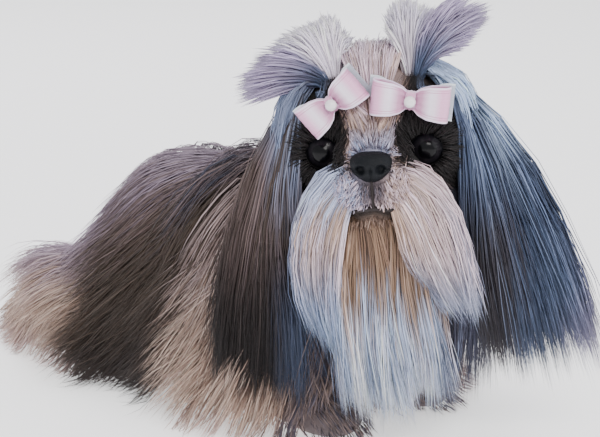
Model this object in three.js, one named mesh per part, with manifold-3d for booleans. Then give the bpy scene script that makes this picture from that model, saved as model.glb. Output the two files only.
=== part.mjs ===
// A small long-coated dog lying down, its head up and turned to its right
import * as THREE from 'three';
import Module from 'manifold-3d';
import { mergeVertices } from 'three/addons/utils/BufferGeometryUtils.js';

const wasm = await Module();
wasm.setup();

// Driving dimensions in millimetres: z is up, the dog faces -y and its left is at +x
const gap = 0.3;
const tolerance = 0.008;
const blend = 14;
const eyeMidpoint = new THREE.Vector3(-20, -135, 162);
const headTurn = -49.5;
const headRoll = -3.6;
const eyeSpacing = 55;
const eyeRadius = 11;
const lidOpening = 8.8;
const lidThickness = 1.7;
const pearlRadius = 3.2;
const chestTop = 149;
const ribTop = 136;
const loinTop = 75;
const rumpTop = 45;
const floorSink = 3.5;
const floorClearance = 2.5;
const bowPlace = { out: 21, forward: -14, up: 28 };

const coatColour = { grey: 0x6d6570, dark: 0x2b2728, slate: 0x6f7482, cream: 0xd9cbbd, white: 0xe8e6ea };

const bodyFrame = new THREE.Matrix4();
const headFrame = new THREE.Matrix4().compose(
  eyeMidpoint,
  new THREE.Quaternion().setFromEuler(
    new THREE.Euler(0, THREE.MathUtils.degToRad(headRoll), THREE.MathUtils.degToRad(headTurn), 'ZXY'),
  ),
  new THREE.Vector3(1, 1, 1),
);

const point = (x, y, z) => new THREE.Vector3(x, y, z);
const inHead = (x, y, z) => point(x, y, z).applyMatrix4(headFrame);
const headWay = (x, y, z) => point(x, y, z).transformDirection(headFrame);

// An ellipsoid of the body, placed in its frame and turned about the frame's own axes
function form(at, radii, frame = bodyFrame, turn = [0, 0, 0]) {
  const angles = turn.map((angle) => THREE.MathUtils.degToRad(angle));
  const place = new THREE.Matrix4().makeRotationFromEuler(new THREE.Euler(...angles));
  place.setPosition(...at);
  const inverse = new THREE.Matrix4().multiplyMatrices(frame, place).invert();
  return { inverse, radii };
}

function distanceToForm(place, { inverse, radii }) {
  const local = place.clone().applyMatrix4(inverse);
  const scaled = point(local.x / radii[0], local.y / radii[1], local.z / radii[2]);
  const twice = point(scaled.x / radii[0], scaled.y / radii[1], scaled.z / radii[2]);
  const reach = scaled.length();
  return reach < 1e-6 ? -Math.min(...radii) : reach * (reach - 1) / twice.length();
}

// Distance outside a group of forms that flow into one another
function distanceTo(place, forms) {
  let nearest = Infinity;
  for (const one of forms) {
    const distance = distanceToForm(place, one);
    if (nearest === Infinity) {
      nearest = distance;
    } else {
      const overlap = Math.max(blend - Math.abs(nearest - distance), 0) / blend;
      nearest = Math.min(nearest, distance) - overlap * overlap * blend / 4;
    }
  }
  return nearest;
}

function outwardAt(place, forms) {
  const step = 0.5;
  const slope = point(0, 0, 0);
  for (const axis of ['x', 'y', 'z']) {
    const ahead = place.clone();
    const behind = place.clone();
    ahead[axis] += step;
    behind[axis] -= step;
    slope[axis] = distanceTo(ahead, forms) - distanceTo(behind, forms);
  }
  return slope.normalize();
}

// The point where a ray from inside the forms passes through their surface
function surfaceAlong(origin, way, forms, offset = 0) {
  let near = 0;
  let far = 4;
  while (distanceTo(origin.clone().addScaledVector(way, far), forms) < offset && far < 400) {
    near = far;
    far += 4;
  }
  for (let i = 0; i < 14; i += 1) {
    const middle = (near + far) / 2;
    if (distanceTo(origin.clone().addScaledVector(way, middle), forms) < offset) {
      near = middle;
    } else {
      far = middle;
    }
  }
  return origin.clone().addScaledVector(way, near);
}

// Rings of points from one end point to the other, closed into one solid
function closedSolid(start, rings, end) {
  const sides = rings[0].length;
  const places = [start, ...rings.flat(), end];
  const triangles = [];
  const at = (ring, side) => 1 + ring * sides + ((side + sides) % sides);
  for (let side = 0; side < sides; side += 1) {
    triangles.push([0, at(0, side + 1), at(0, side)]);
    triangles.push([places.length - 1, at(rings.length - 1, side), at(rings.length - 1, side + 1)]);
    for (let ring = 0; ring < rings.length - 1; ring += 1) {
      const corner = [at(ring, side), at(ring, side + 1), at(ring + 1, side + 1), at(ring + 1, side)];
      if (side < sides / 2) {
        triangles.push([corner[0], corner[1], corner[2]], [corner[0], corner[2], corner[3]]);
      } else {
        triangles.push([corner[0], corner[1], corner[3]], [corner[1], corner[2], corner[3]]);
      }
    }
  }
  return solidFrom(places, triangles);
}

function solidFrom(places, triangles) {
  let volume = 0;
  for (const [a, b, c] of triangles) {
    volume += places[a].dot(places[b].clone().cross(places[c]));
  }
  const turned = volume < 0 ? triangles.map(([a, b, c]) => [a, c, b]) : triangles;
  return new wasm.Manifold(new wasm.Mesh({
    numProp: 3,
    vertProperties: new Float32Array(places.flatMap((place) => place.toArray())),
    triVerts: new Uint32Array(turned.flat()),
  }));
}

// A plain three.js geometry, placed by a matrix, as a solid
function placedSolid(geometry, matrix) {
  geometry.deleteAttribute('normal');
  geometry.deleteAttribute('uv');
  const merged = mergeVertices(geometry.applyMatrix4(matrix), 1e-4);
  return new wasm.Manifold(new wasm.Mesh({
    numProp: 3,
    vertProperties: new Float32Array(merged.attributes.position.array),
    triVerts: new Uint32Array(merged.index.array),
  }));
}

function headEllipsoid(at, radii, turn = [0, 0, 0], segments = [16, 12]) {
  const angles = turn.map((angle) => THREE.MathUtils.degToRad(angle));
  const place = new THREE.Matrix4().compose(
    point(...at),
    new THREE.Quaternion().setFromEuler(new THREE.Euler(...angles)),
    point(...radii),
  );
  return placedSolid(new THREE.SphereGeometry(1, ...segments), headFrame.clone().multiply(place));
}

// The skin over a group of forms, found along rays that fan out from a line inside them
function skinSolid({ forms, from, to, rings, sides }, offset = 0) {
  const along = to.clone().sub(from).normalize();
  const across = point(0, 0, 1).cross(along).normalize();
  const upward = along.clone().cross(across);
  const ringAt = (share) => {
    const swing = 2 * share - 1;
    const latitude = Math.sign(swing) * Math.abs(swing) ** 1.6 * Math.PI / 2;
    const origin = from.clone().lerp(to, share);
    return Array.from({ length: sides }, (_, side) => {
      const turn = (side + 0.5) / sides * Math.PI * 2;
      const way = across.clone().multiplyScalar(Math.sin(turn))
        .addScaledVector(upward, Math.cos(turn))
        .multiplyScalar(Math.cos(latitude))
        .addScaledVector(along, Math.sin(latitude));
      return surfaceAlong(origin, way, forms, offset);
    });
  };
  const middle = Array.from({ length: rings - 1 }, (_, i) => ringAt((i + 1) / rings));
  const start = surfaceAlong(from, along.clone().negate(), forms, offset);
  const end = surfaceAlong(to, along, forms, offset);
  return closedSolid(start, middle, end);
}

// A flat tapered lock along a path: three-sided with its ridge outwards, tip drawn to a point
function lockSolid({ path, outward, width, thickness, blunt = 0.2 }, grow = 0) {
  const count = path.length - 1;
  const rings = [];
  const wayAt = (i) => path[Math.min(i + 1, count)].clone().sub(path[Math.max(i - 1, 0)]).normalize();
  for (let i = 0; i < count; i += 1) {
    const share = i / count;
    const way = wayAt(i);
    const side = way.clone().cross(outward[i]).normalize();
    const up = side.clone().cross(way).normalize();
    const swell = share < 0.3 ? 0.62 + 0.38 * share / 0.3 : 1 - ((share - 0.3) / 0.7) ** 2.2 * (1 - blunt);
    const bare = thickness / 2 * (1 - 0.35 * share);
    const deep = bare + grow;
    const half = width / 2 * swell * deep / bare;
    const centre = path[i].clone().addScaledVector(way, i === 0 ? -grow : 0);
    rings.push([
      centre.clone().addScaledVector(side, half).addScaledVector(up, -deep),
      centre.clone().addScaledVector(up, deep),
      centre.clone().addScaledVector(side, -half).addScaledVector(up, -deep),
    ]);
  }
  const root = path[0].clone().addScaledVector(wayAt(0), -grow - 0.5);
  const tip = path[count].clone().addScaledVector(wayAt(count), 2 * grow);
  return closedSolid(root, rings, tip);
}

const floorBox = placedSolid(
  new THREE.BoxGeometry(1000, 1000, 100),
  new THREE.Matrix4().makeTranslation(0, 0, -50),
);

function joined(solids) {
  return solids.reduce((whole, solid) => whole.add(solid));
}

function largest(solid) {
  return solid.decompose().reduce((best, piece) => (piece.volume() > best.volume() ? piece : best));
}

// The largest closed surface of a solid, with edges shorter than the tolerance drawn together
function cleaned(solid) {
  const { vertProperties, triVerts } = largest(solid).simplify(tolerance).getMesh();
  const rough = new THREE.BufferGeometry();
  rough.setAttribute('position', new THREE.BufferAttribute(vertProperties, 3));
  rough.setIndex(new THREE.BufferAttribute(triVerts, 1));
  const merged = mergeVertices(rough.toNonIndexed(), 1e-3);
  return largest(new wasm.Manifold(new wasm.Mesh({
    numProp: 3,
    vertProperties: new Float32Array(merged.attributes.position.array),
    triVerts: new Uint32Array(merged.index.array),
  })));
}

const group = new THREE.Group();
group.name = 'dog';

function addNode(name, solid, colour, roughness = 0.85) {
  const { vertProperties, triVerts } = cleaned(solid.subtract(floorBox)).getMesh();
  const geometry = new THREE.BufferGeometry();
  geometry.setAttribute('position', new THREE.BufferAttribute(vertProperties, 3));
  geometry.setIndex(new THREE.BufferAttribute(triVerts, 1));
  const material = new THREE.MeshStandardMaterial({ color: colour, roughness });
  const mesh = new THREE.Mesh(geometry, material);
  mesh.name = name;
  group.add(mesh);
}

// Forms of the body under the coat, each with its top at a named height
function barrel(y, top, halfWidth, halfLength) {
  const halfHeight = (top + floorSink) / 2;
  return form([0, y, top - halfHeight], [halfWidth, halfLength, halfHeight]);
}

// The same forms with a coat's depth added all round, for what lies over them
function swollen(forms, extra) {
  return forms.map(({ inverse, radii }) => ({ inverse, radii: radii.map((radius) => radius + extra) }));
}

const torso = {
  forms: [
    barrel(-40, chestTop, 50, 58),
    barrel(20, ribTop, 53, 78),
    barrel(82, loinTop, 46, 58),
    barrel(126, rumpTop, 42, 42),
  ],
  from: point(0, -50, 60),
  to: point(0, 126, 32),
  rings: 10,
  sides: 14,
};
const neck = {
  forms: [form([3, -72, 106], [40, 36, 42]), form([10, -96, 134], [36, 33, 36])],
  from: point(3, -70, 106),
  to: point(12, -98, 138),
  rings: 7,
  sides: 12,
};
const head = {
  forms: [
    form([0, 38, 7], [44, 43, 42], headFrame),
    form([0, 18, 18], [31, 22, 24], headFrame),
    form([27, 16, -10], [19, 19, 24], headFrame),
    form([-27, 16, -10], [19, 19, 24], headFrame),
  ],
  from: inHead(0, 44, 4),
  to: inHead(0, 18, 4),
  rings: 11,
  sides: 16,
};
const muzzle = {
  forms: [
    form([0, -10, -12], [22, 18, 14], headFrame),
    form([11, -15, -16], [14, 14, 12], headFrame),
    form([-11, -15, -16], [14, 14, 12], headFrame),
    form([0, -14, 0], [9, 12, 8], headFrame),
  ],
  from: inHead(0, -4, -10),
  to: inHead(0, -14, -10),
  rings: 8,
  sides: 14,
};
const chin = {
  forms: [form([0, -6, -31], [18, 19, 12], headFrame)],
  from: inHead(0, -2, -31),
  to: inHead(0, -8, -31),
  rings: 6,
  sides: 10,
};

function foreleg(side) {
  return {
    forms: [
      form([side * 44, -52, 24], [20, 30, 26]),
      form([side * 42, -80, 17], [14, 38, 15]),
      form([side * 38, -104, 13], [13, 24, 14]),
      form([side * 36, -120, 11], [15, 20, 12.5]),
    ],
    from: point(side * 44, -50, 22),
    to: point(side * 38, -108, 13),
    rings: 8,
    sides: 10,
  };
}

function hindleg(side) {
  return {
    forms: [
      form([side * 47, 98, 27], [23, 46, 29]),
      form([side * 56, 66, 20], [19, 30, 21]),
      form([side * 60, 50, 11], [15, 32, 12.5]),
    ],
    from: point(side * 50, 110, 24),
    to: point(side * 60, 45, 10),
    rings: 9,
    sides: 10,
  };
}

// The tail lies relaxed behind the rump, turned towards the left
const tail = {
  forms: [
    form([6, 160, 28], [12, 20, 10], bodyFrame, [-18, 0, -20]),
    form([22, 180, 17], [20, 11, 8], bodyFrame, [0, 8, 28]),
  ],
  from: point(5, 158, 28),
  to: point(24, 181, 16),
  rings: 7,
  sides: 8,
};

const legs = [-1, 1].flatMap((side) => [...foreleg(side).forms, ...hindleg(side).forms]);

// A repeatable draw, so that no two locks are quite alike
let draw = 20651;
function vary(share) {
  draw = (draw * 48271) % 2147483647;
  return 1 + share * (2 * draw / 2147483647 - 1);
}

// Evenly spaced values from one end to the other
function spread(from, to, count) {
  return Array.from({ length: count }, (_, i) => from + (to - from) * (count > 1 ? i / (count - 1) : 0.5));
}

// A path that leaves its root in the skin and lies along the coat, clear of what it covers and of the floor
function strand({ root, over, lie, length, lift, steps, sink = 5 }) {
  const first = outwardAt(root, over);
  const path = [root.clone().addScaledVector(first, -sink)];
  const outward = [first];
  const place = root.clone().addScaledVector(first, lift * 0.4);
  let way = null;
  for (let i = 1; i <= steps; i += 1) {
    const out = outwardAt(place, over);
    const clearance = lift * Math.min(1, 0.4 + i / steps * 1.4);
    const wanted = lie(i / steps).normalize();
    if (distanceTo(place, over) < clearance + 3) {
      wanted.addScaledVector(out, -Math.min(0, wanted.dot(out)));
    }
    way = way ? way.multiplyScalar(0.45).addScaledVector(wanted, 0.55).normalize() : wanted.normalize();
    const pooled = place.z > floorClearance ? 1 : 0.35;
    place.addScaledVector(way, length / steps * pooled);
    const shortfall = clearance - distanceTo(place, over);
    if (shortfall > 0) {
      place.addScaledVector(outwardAt(place, over), shortfall);
    }
    const low = Math.max(0, 1 - place.z / 12);
    place.z = Math.max(place.z, floorClearance);
    path.push(place.clone());
    outward.push(outwardAt(place, over).lerp(point(0, 0, 1), low).normalize());
  }
  return { path, outward: evened(evened(outward)) };
}

// Directions along a path, each drawn towards its neighbours so that a lock doesn't twist
function evened(ways) {
  return ways.map((way, i) => {
    const before = ways[Math.max(i - 1, 0)];
    const after = ways[Math.min(i + 1, ways.length - 1)];
    return way.clone().add(before).add(after).normalize();
  });
}

// Neighbours in a row lie by turns low and high, so that they overlap like shingles
function coatLock(settings, order) {
  const laid = {
    ...settings,
    length: settings.length * vary(0.07),
    lift: settings.lift + (order % 2) * (settings.thickness + 0.6),
  };
  return { ...strand(laid), width: settings.width * vary(0.07), thickness: settings.thickness };
}

// A lock of the head that falls along a curve through four places given in the head's frame
function fallingLock({ places, facing, width, thickness = 2.4, steps = 5, blunt = 0.2 }) {
  const [root, rise, fall, tip] = places.map((place) => inHead(...place));
  const path = new THREE.CubicBezierCurve3(root, rise, fall, tip).getPoints(steps);
  const out = headWay(...facing);
  return { path, outward: path.map(() => out), width: width * vary(0.06), thickness, blunt };
}

function coat(locks, grow = 0) {
  return joined(locks.map((lock) => lockSolid(lock, grow)));
}

// Where a ray leaves a skin, from its middle line at a height along y and at an angle from straight up
function onSkin(skin, y, angle, side) {
  const share = THREE.MathUtils.clamp((y - skin.from.y) / (skin.to.y - skin.from.y), 0, 1);
  const origin = skin.from.clone().lerp(skin.to, share);
  const lean = THREE.MathUtils.degToRad(angle);
  const way = point(side * Math.sin(lean), (y - origin.y) / 45, Math.cos(lean)).normalize();
  return surfaceAlong(origin, way, skin.forms);
}

// The long coat of the torso, in rows from the parting along the back down to the floor
function flankCoat() {
  const over = [...torso.forms, ...swollen(legs, 5)];
  const rows = [
    { angle: 9, count: 7, length: 112, lift: 8.5, first: -40, last: 112 },
    { angle: 56, count: 7, length: 111, lift: 2, first: -58, last: 108 },
  ];
  const backward = (y) => THREE.MathUtils.mapLinear(y, -70, 150, 0.25, 0.65);
  const lock = (side, row, y, order) => coatLock({
    root: onSkin(torso, y, row.angle, side),
    over,
    lie: (share) => point(side * (0.75 - 0.1 * share), backward(y), -1),
    length: row.length - Math.max(0, y + 10) * 0.12,
    lift: row.lift,
    width: 43,
    thickness: 2.6,
    steps: 5,
  }, order);
  return [-1, 1].flatMap((side) => rows.flatMap(
    (row) => spread(row.first, row.last, row.count).map((y, order) => lock(side, row, y, order)),
  ));
}

// Hair of the rump, falling behind it to the floor
function rumpCoat() {
  const over = [...torso.forms, ...swollen(legs, 5), ...tail.forms];
  return spread(-1, 1, 5).map((across, order) => coatLock({
    root: surfaceAlong(torso.to, point(across, 1, 0.45).normalize(), torso.forms),
    over,
    lie: () => point(across * 0.7, 0.7, -1),
    length: 56,
    lift: 4,
    width: 30,
    thickness: 2.6,
    steps: 4,
  }, order));
}

// Hair of the chest, hanging in front between the forelegs
function chestCoat() {
  const over = [...torso.forms, ...swollen(legs, 4)];
  return spread(-1, 1, 5).map((across, order) => coatLock({
    root: surfaceAlong(torso.from, point(across, -1, 0.25).normalize(), torso.forms),
    over,
    lie: () => point(across * 0.7, -0.3, -1),
    length: 96,
    lift: 5,
    width: 34,
    thickness: 2.6,
    steps: 5,
  }, order));
}

// The ruff, in two rows round the neck, down over the withers and the shoulders
function ruffCoat() {
  const over = [...neck.forms, ...swollen(torso.forms, 14)];
  const rows = [{ share: 0.75, length: 82, lift: 6.5 }, { share: 0.2, length: 112, lift: 2 }];
  return rows.flatMap((row) => spread(-150, 150, 6).map((turn, order) => {
    const angle = THREE.MathUtils.degToRad(turn);
    const way = point(Math.sin(angle), -Math.cos(angle), -0.1).normalize();
    return coatLock({
      root: surfaceAlong(neck.from.clone().lerp(neck.to, row.share), way, neck.forms),
      over,
      lie: () => point(way.x * 0.45, way.y * 0.3 + 0.15, -1),
      length: row.length,
      lift: row.lift,
      width: 37,
      thickness: 2.6,
      steps: 4,
    }, order);
  }));
}

// The plume of the tail
function plumeCoat() {
  return spread(0, 1, 3).flatMap((share) => [-50, 40].map((turn, order) => {
    const angle = THREE.MathUtils.degToRad(turn);
    const way = point(-0.3, Math.cos(angle) * 0.4 + 0.3, 0.8 + Math.sin(angle) * 0.3).normalize();
    return coatLock({
      root: surfaceAlong(tail.from.clone().lerp(tail.to, share), way, tail.forms),
      over: tail.forms,
      lie: () => point(0.75 - turn * 0.012, 0.55 + turn * 0.008, -0.6),
      length: 48,
      lift: 2.5,
      width: 20,
      thickness: 2.4,
      steps: 4,
      sink: 4,
    }, order);
  }));
}

function forelegCoat(side) {
  const skin = foreleg(side);
  return spread(-66, -118, 5).map((y, order) => coatLock({
    root: onSkin(skin, y, 30, side),
    over: skin.forms,
    lie: () => point(side * 1.2, THREE.MathUtils.mapLinear(y, -66, -118, -0.2, -0.7), -0.6),
    length: THREE.MathUtils.mapLinear(y, -66, -118, 64, 40),
    lift: 1.5,
    width: 21,
    thickness: 2.2,
    steps: 4,
    sink: 4,
  }, order));
}

function hindlegCoat(side) {
  const skin = hindleg(side);
  return spread(122, 50, 6).map((y, order) => coatLock({
    root: onSkin(skin, y, 40, side),
    over: skin.forms,
    lie: () => point(side * 0.6, 0.3, -1),
    length: THREE.MathUtils.mapLinear(y, 122, 50, 46, 26),
    lift: 1.5,
    width: 22,
    thickness: 2.2,
    steps: 4,
    sink: 4,
  }, order));
}

// Hair combed up from the brows to the topknots
function browCoat(side) {
  return [6, 21].map((out, order) => fallingLock({
    places: [
      [side * out, 4 + out * 0.15, 16],
      [side * out, -7 + out * 0.2, 20],
      [side * (out * 0.5 + 11), -6 + out * 0.1, 32 + order % 2],
      [side * (out * 0.2 + 17), 4, 42],
    ],
    facing: [side * out * 0.015, -1, 0.4],
    width: 16,
    thickness: 2.2,
    steps: 4,
  }));
}

// Hair that falls from the topknots over the sides of the crown, and down the back of the skull
function crownCoat(side) {
  const falls = [
    { back: 12, out: 58, down: 4, rise: 45 },
    { back: 34, out: 58, down: -16, rise: 47 },
    { back: 60, out: 44, down: -32, rise: 46 },
    { back: 78, out: 14, down: -40, rise: 44 },
  ];
  return falls.map(({ back, out, down, rise }, order) => {
    const lift = (order % 2) * 3;
    return fallingLock({
      places: [
        [side * Math.max(out * 0.4, 6), 14 + back * 0.3, 34],
        [side * (out * 0.75 + lift), back * 0.75 + 6, rise + 6 + lift],
        [side * (out + 2 + lift), back + 6 + lift, 22],
        [side * (out + 3 + lift), back + 4 + lift, down],
      ],
      facing: [side * out / 60, back / 60 - 0.3, 0.5],
      width: 34,
      steps: 4,
    });
  });
}

// Long hair of the cheeks, hanging beside the beard
function cheekCoat(side) {
  return [0, 1, 2].map((order) => fallingLock({
    places: [
      [side * (30 + order * 4), 8 + order * 6, -12 - order * 2],
      [side * (46 + order * 3), 2 + order * 7, -22],
      [side * (48 + order * 3), -4 + order * 9, -70],
      [side * (40 + order * 7), -6 + order * 10, -140 + order * 10],
    ],
    facing: [side * (0.3 + order * 0.2), -1, 0],
    width: 22,
    steps: 5,
  }));
}

// The ear's leather: a flap that hangs from the side of the skull, cupped towards it
function earLeather(side, grow = 0) {
  const rows = [
    { at: [40, 26, 25], half: 12 },
    { at: [49, 25, 20], half: 16 },
    { at: [54, 24, 6], half: 19 },
    { at: [56, 23, -10], half: 17 },
    { at: [57, 22, -22], half: 10 },
  ];
  const thickness = 3.2;
  const cup = 5;
  const rings = rows.map(({ at, half }, i) => {
    const before = rows[Math.max(i - 1, 0)].at;
    const after = rows[Math.min(i + 1, rows.length - 1)].at;
    const way = point(after[0] - before[0], 0, after[2] - before[2]).normalize();
    const out = point(-way.z, 0, way.x);
    const place = (share, lift) => {
      const local = point(at[0], at[1] + (half + grow) * share, at[2]);
      local.addScaledVector(out, lift - cup * share * share);
      return inHead(side * local.x, local.y, local.z);
    };
    const across = [-1, 0, 1];
    const outer = across.map((share) => place(share, thickness / 2 + grow));
    const inner = across.map((share) => place(share, -thickness / 2 - grow)).reverse();
    return [...outer, ...inner];
  });
  return closedSolid(inHead(side * (39 - grow), 26, 26), rings, inHead(side * 57, 22, -28 - grow));
}

// The ear's fringe: long locks from the outer face of the leather, fanning out as they fall
const earFringe = {
  left: { frontOut: 60, backOut: 110, frontLow: -128, backLow: -122, rise: -2, width: 32 },
  right: { frontOut: 52, backOut: 86, frontLow: -128, backLow: -120, rise: -5, width: 27 },
};

function earCoat(side) {
  const { frontOut, backOut, frontLow, backLow, rise, width } = side > 0 ? earFringe.left : earFringe.right;
  const rows = [{ high: 16, shorter: 0, lift: 4, count: 4 }, { high: -2, shorter: 12, lift: -6, count: 3 }];
  return rows.flatMap(({ high, shorter, lift, count }) => spread(0, 1, count).map((share, order) => {
    const out = THREE.MathUtils.lerp(frontOut, backOut, share);
    const low = THREE.MathUtils.lerp(frontLow, backLow, share) * vary(0.03) + shorter;
    const back = 10 + 26 * share;
    const front = (order % 2) * 4 + lift;
    return fallingLock({
      places: [
        [side * 53, back, high],
        [side * (59 + 9 * share), back - 3 - front, high + rise],
        [side * (out * 0.97 + 1), 8 * share - 2 - front, -44],
        [side * out, -4 - front, low],
      ],
      facing: [side * 0.45, -1, 0.1],
      width,
      steps: 5,
      blunt: 0.45,
    });
  }));
}

// A topknot: a gathered base on the crown and the locks that fan out of it to these tips
const topknotTips = {
  left: [[12, 71], [24, 78], [36, 73], [52, 77], [66, 71], [58, 56]],
  right: [[12, 62], [22, 71], [33, 70], [48, 65], [68, 50], [80, 32]],
};
const topknotBase = [21, 16, 36];

function topknotCoat(side) {
  const tips = side > 0 ? topknotTips.left : topknotTips.right;
  const [baseOut, baseBack, baseUp] = topknotBase;
  return tips.map(([out, up], order) => {
    const back = baseBack + (order % 2) * 7;
    return fallingLock({
      places: [
        [side * (baseOut + (order - 2.5)), baseBack, baseUp - 6],
        [side * (baseOut * 0.75 + out * 0.25), back, baseUp + 8 + order],
        [side * (baseOut * 0.35 + out * 0.65), back + 3, up * 0.7 + baseUp * 0.3 + order],
        [side * out, back + 2, up],
      ],
      facing: [0, -1, 0.15],
      width: 17,
      thickness: 3.2,
      steps: 4,
      blunt: 0.6,
    });
  });
}

const topknotTie = (side, grow = 0) => {
  const [out, back, up] = topknotBase;
  const radii = [7, 7, 9].map((radius) => radius + grow);
  return headEllipsoid([side * out, back + 2, up + 1], radii, [0, side * 12, 0], [8, 6]);
};

// The moustache, from beside the nose out over the cheeks and down
function moustacheCoat(side) {
  const tips = [[54, -92], [45, -106], [35, -116], [25, -104]];
  return tips.map(([out, down], order) => fallingLock({
    places: [
      [side * (9 + order * 1.5), -18, -8 - order * 4],
      [side * (12 + out * 0.36), -37, -10 - order * 6],
      [side * (out * 1.02), -33 - (order % 2) * 4, -34 - order * 6],
      [side * out, -28 - (order % 2) * 4, down],
    ],
    facing: [side * 0.3, -1, 0.1],
    width: 19,
    steps: 5,
  }));
}

// The beard, in two rows under the chin, down to the floor
function beardCoat() {
  const rows = [{ back: 0, low: -156, wide: 25 }, { back: 9, low: -152, wide: 34 }];
  const lock = ({ back, low, wide }, share, order) => {
    const lift = (order % 2) * 3;
    return fallingLock({
      places: [
        [share * 11, -12 + back, -34],
        [share * 15, -24 + back - lift, -48],
        [share * (wide + 2), -26 + back - lift, -90],
        [share * wide, -27 + back - lift, low + Math.abs(share) * 10],
      ],
      facing: [share * 0.4, -1, 0],
      width: 21,
      steps: 5,
      blunt: 0.35,
    });
  };
  return rows.flatMap((row) => spread(-1, 1, 5).map((share, order) => lock(row, share, order)));
}

// The skull with its lids
function skullSolid(grow = 0) {
  const lids = [-1, 1].map((side) => headEllipsoid(
    eyeAt(side), Array(3).fill(eyeRadius + lidThickness + grow), [0, 0, 0], [12, 6],
  ));
  return joined([skinSolid(head, grow), ...lids]);
}

const eyeAt = (side) => [side * eyeSpacing / 2, 4, 0];
const eyeSolid = (side, grow = 0) => headEllipsoid(
  eyeAt(side), Array(3).fill(eyeRadius + grow), [0, 0, 0], [14, 8],
);
const pearlAt = (side) => [side * bowPlace.out, bowPlace.forward, bowPlace.up];
const pearlSolid = (side, grow = 0) => headEllipsoid(
  pearlAt(side), Array(3).fill(pearlRadius + grow), [0, 0, 0], [8, 6],
);

// The nose pad with its two nostrils
const noseSolid = (grow = 0) => {
  const radii = [10, 8, 8].map((radius) => radius + grow);
  return headEllipsoid([0, -29, -3], radii, [0, 0, 0], [12, 8]);
};
const nostrils = joined([-1, 1].map((side) => headEllipsoid(
  [side * 4.6, -37, -3.5], [1.9, 5, 2.6], [0, side * 30, 0], [8, 6],
)));

// One loop of a bow's ribbon, from the knot outwards, or the hollow through it
function ribbonLoop(place, way, hollow, grow) {
  const sections = [
    { out: 0, wide: 3.2, deep: 2.4 },
    { out: 7, wide: 7.6, deep: 4.4 },
    { out: 14, wide: 9.4, deep: 4.6 },
    { out: 20, wide: 9.8, deep: 2.2 },
  ];
  const inset = hollow ? 0.8 : 0;
  const rings = sections.slice(hollow ? 1 : 0).map(({ out, wide, deep }) => {
    const half = wide + (hollow ? 2 : grow);
    const thick = deep - inset + grow;
    const corners = [[1, -1], [1, 1], [0, 1.15], [-1, 1], [-1, -1], [0, -1.15]];
    return corners.map(([up, front]) => place(way * (out - inset), front * thick, up * half));
  });
  const tipOut = 20.8 + grow - inset;
  return closedSolid(place(way * (hollow ? 3 : -1), 0, 0), rings, place(way * tipOut, 0, 0));
}

// A bow: two loops of ribbon either side of a knot
function bowSolid(side, grow = 0) {
  const lean = THREE.MathUtils.degToRad(side > 0 ? 9 : -38);
  const [out, forward, up] = pearlAt(side);
  const place = (x, y, z) => inHead(
    out + x * Math.cos(lean) + z * Math.sin(lean),
    forward + 6 + y,
    up - x * Math.sin(lean) + z * Math.cos(lean),
  );
  const loops = [-1, 1].map((way) => {
    const band = ribbonLoop(place, way, false, grow);
    return grow ? band : band.subtract(ribbonLoop(place, way, true, 0));
  });
  const radii = [3.2, 5.4, 4.6].map((radius) => radius + grow);
  const knot = headEllipsoid([out, forward + 6, up], radii, [0, 0, 0], [8, 6]);
  return joined([...loops, knot]);
}

// The openings between the lids
const lidOpenings = joined([-1, 1].map((side) => headEllipsoid(
  [side * (eyeSpacing / 2 + 2), -8, 0], [lidOpening, 12, lidOpening], [0, 0, 0], [14, 6],
)));

// A part of the body: its skin and the locks rooted in it, both grown by a margin
function haired(skin, locks) {
  return (grow) => joined([skinSolid(skin, grow), coat(locks, grow)]);
}

function headNode() {
  const locks = [-1, 1].flatMap((side) => [...browCoat(side), ...crownCoat(side), ...cheekCoat(side)]);
  return (grow) => joined([skullSolid(grow), coat(locks, grow)]).subtract(lidOpenings);
}

function topknotNode(side) {
  const locks = topknotCoat(side);
  return (grow) => joined([topknotTie(side, grow), coat(locks, grow)]);
}

function earNode(side) {
  const locks = earCoat(side);
  return (grow) => joined([earLeather(side, grow), coat(locks, grow)]);
}

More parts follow.
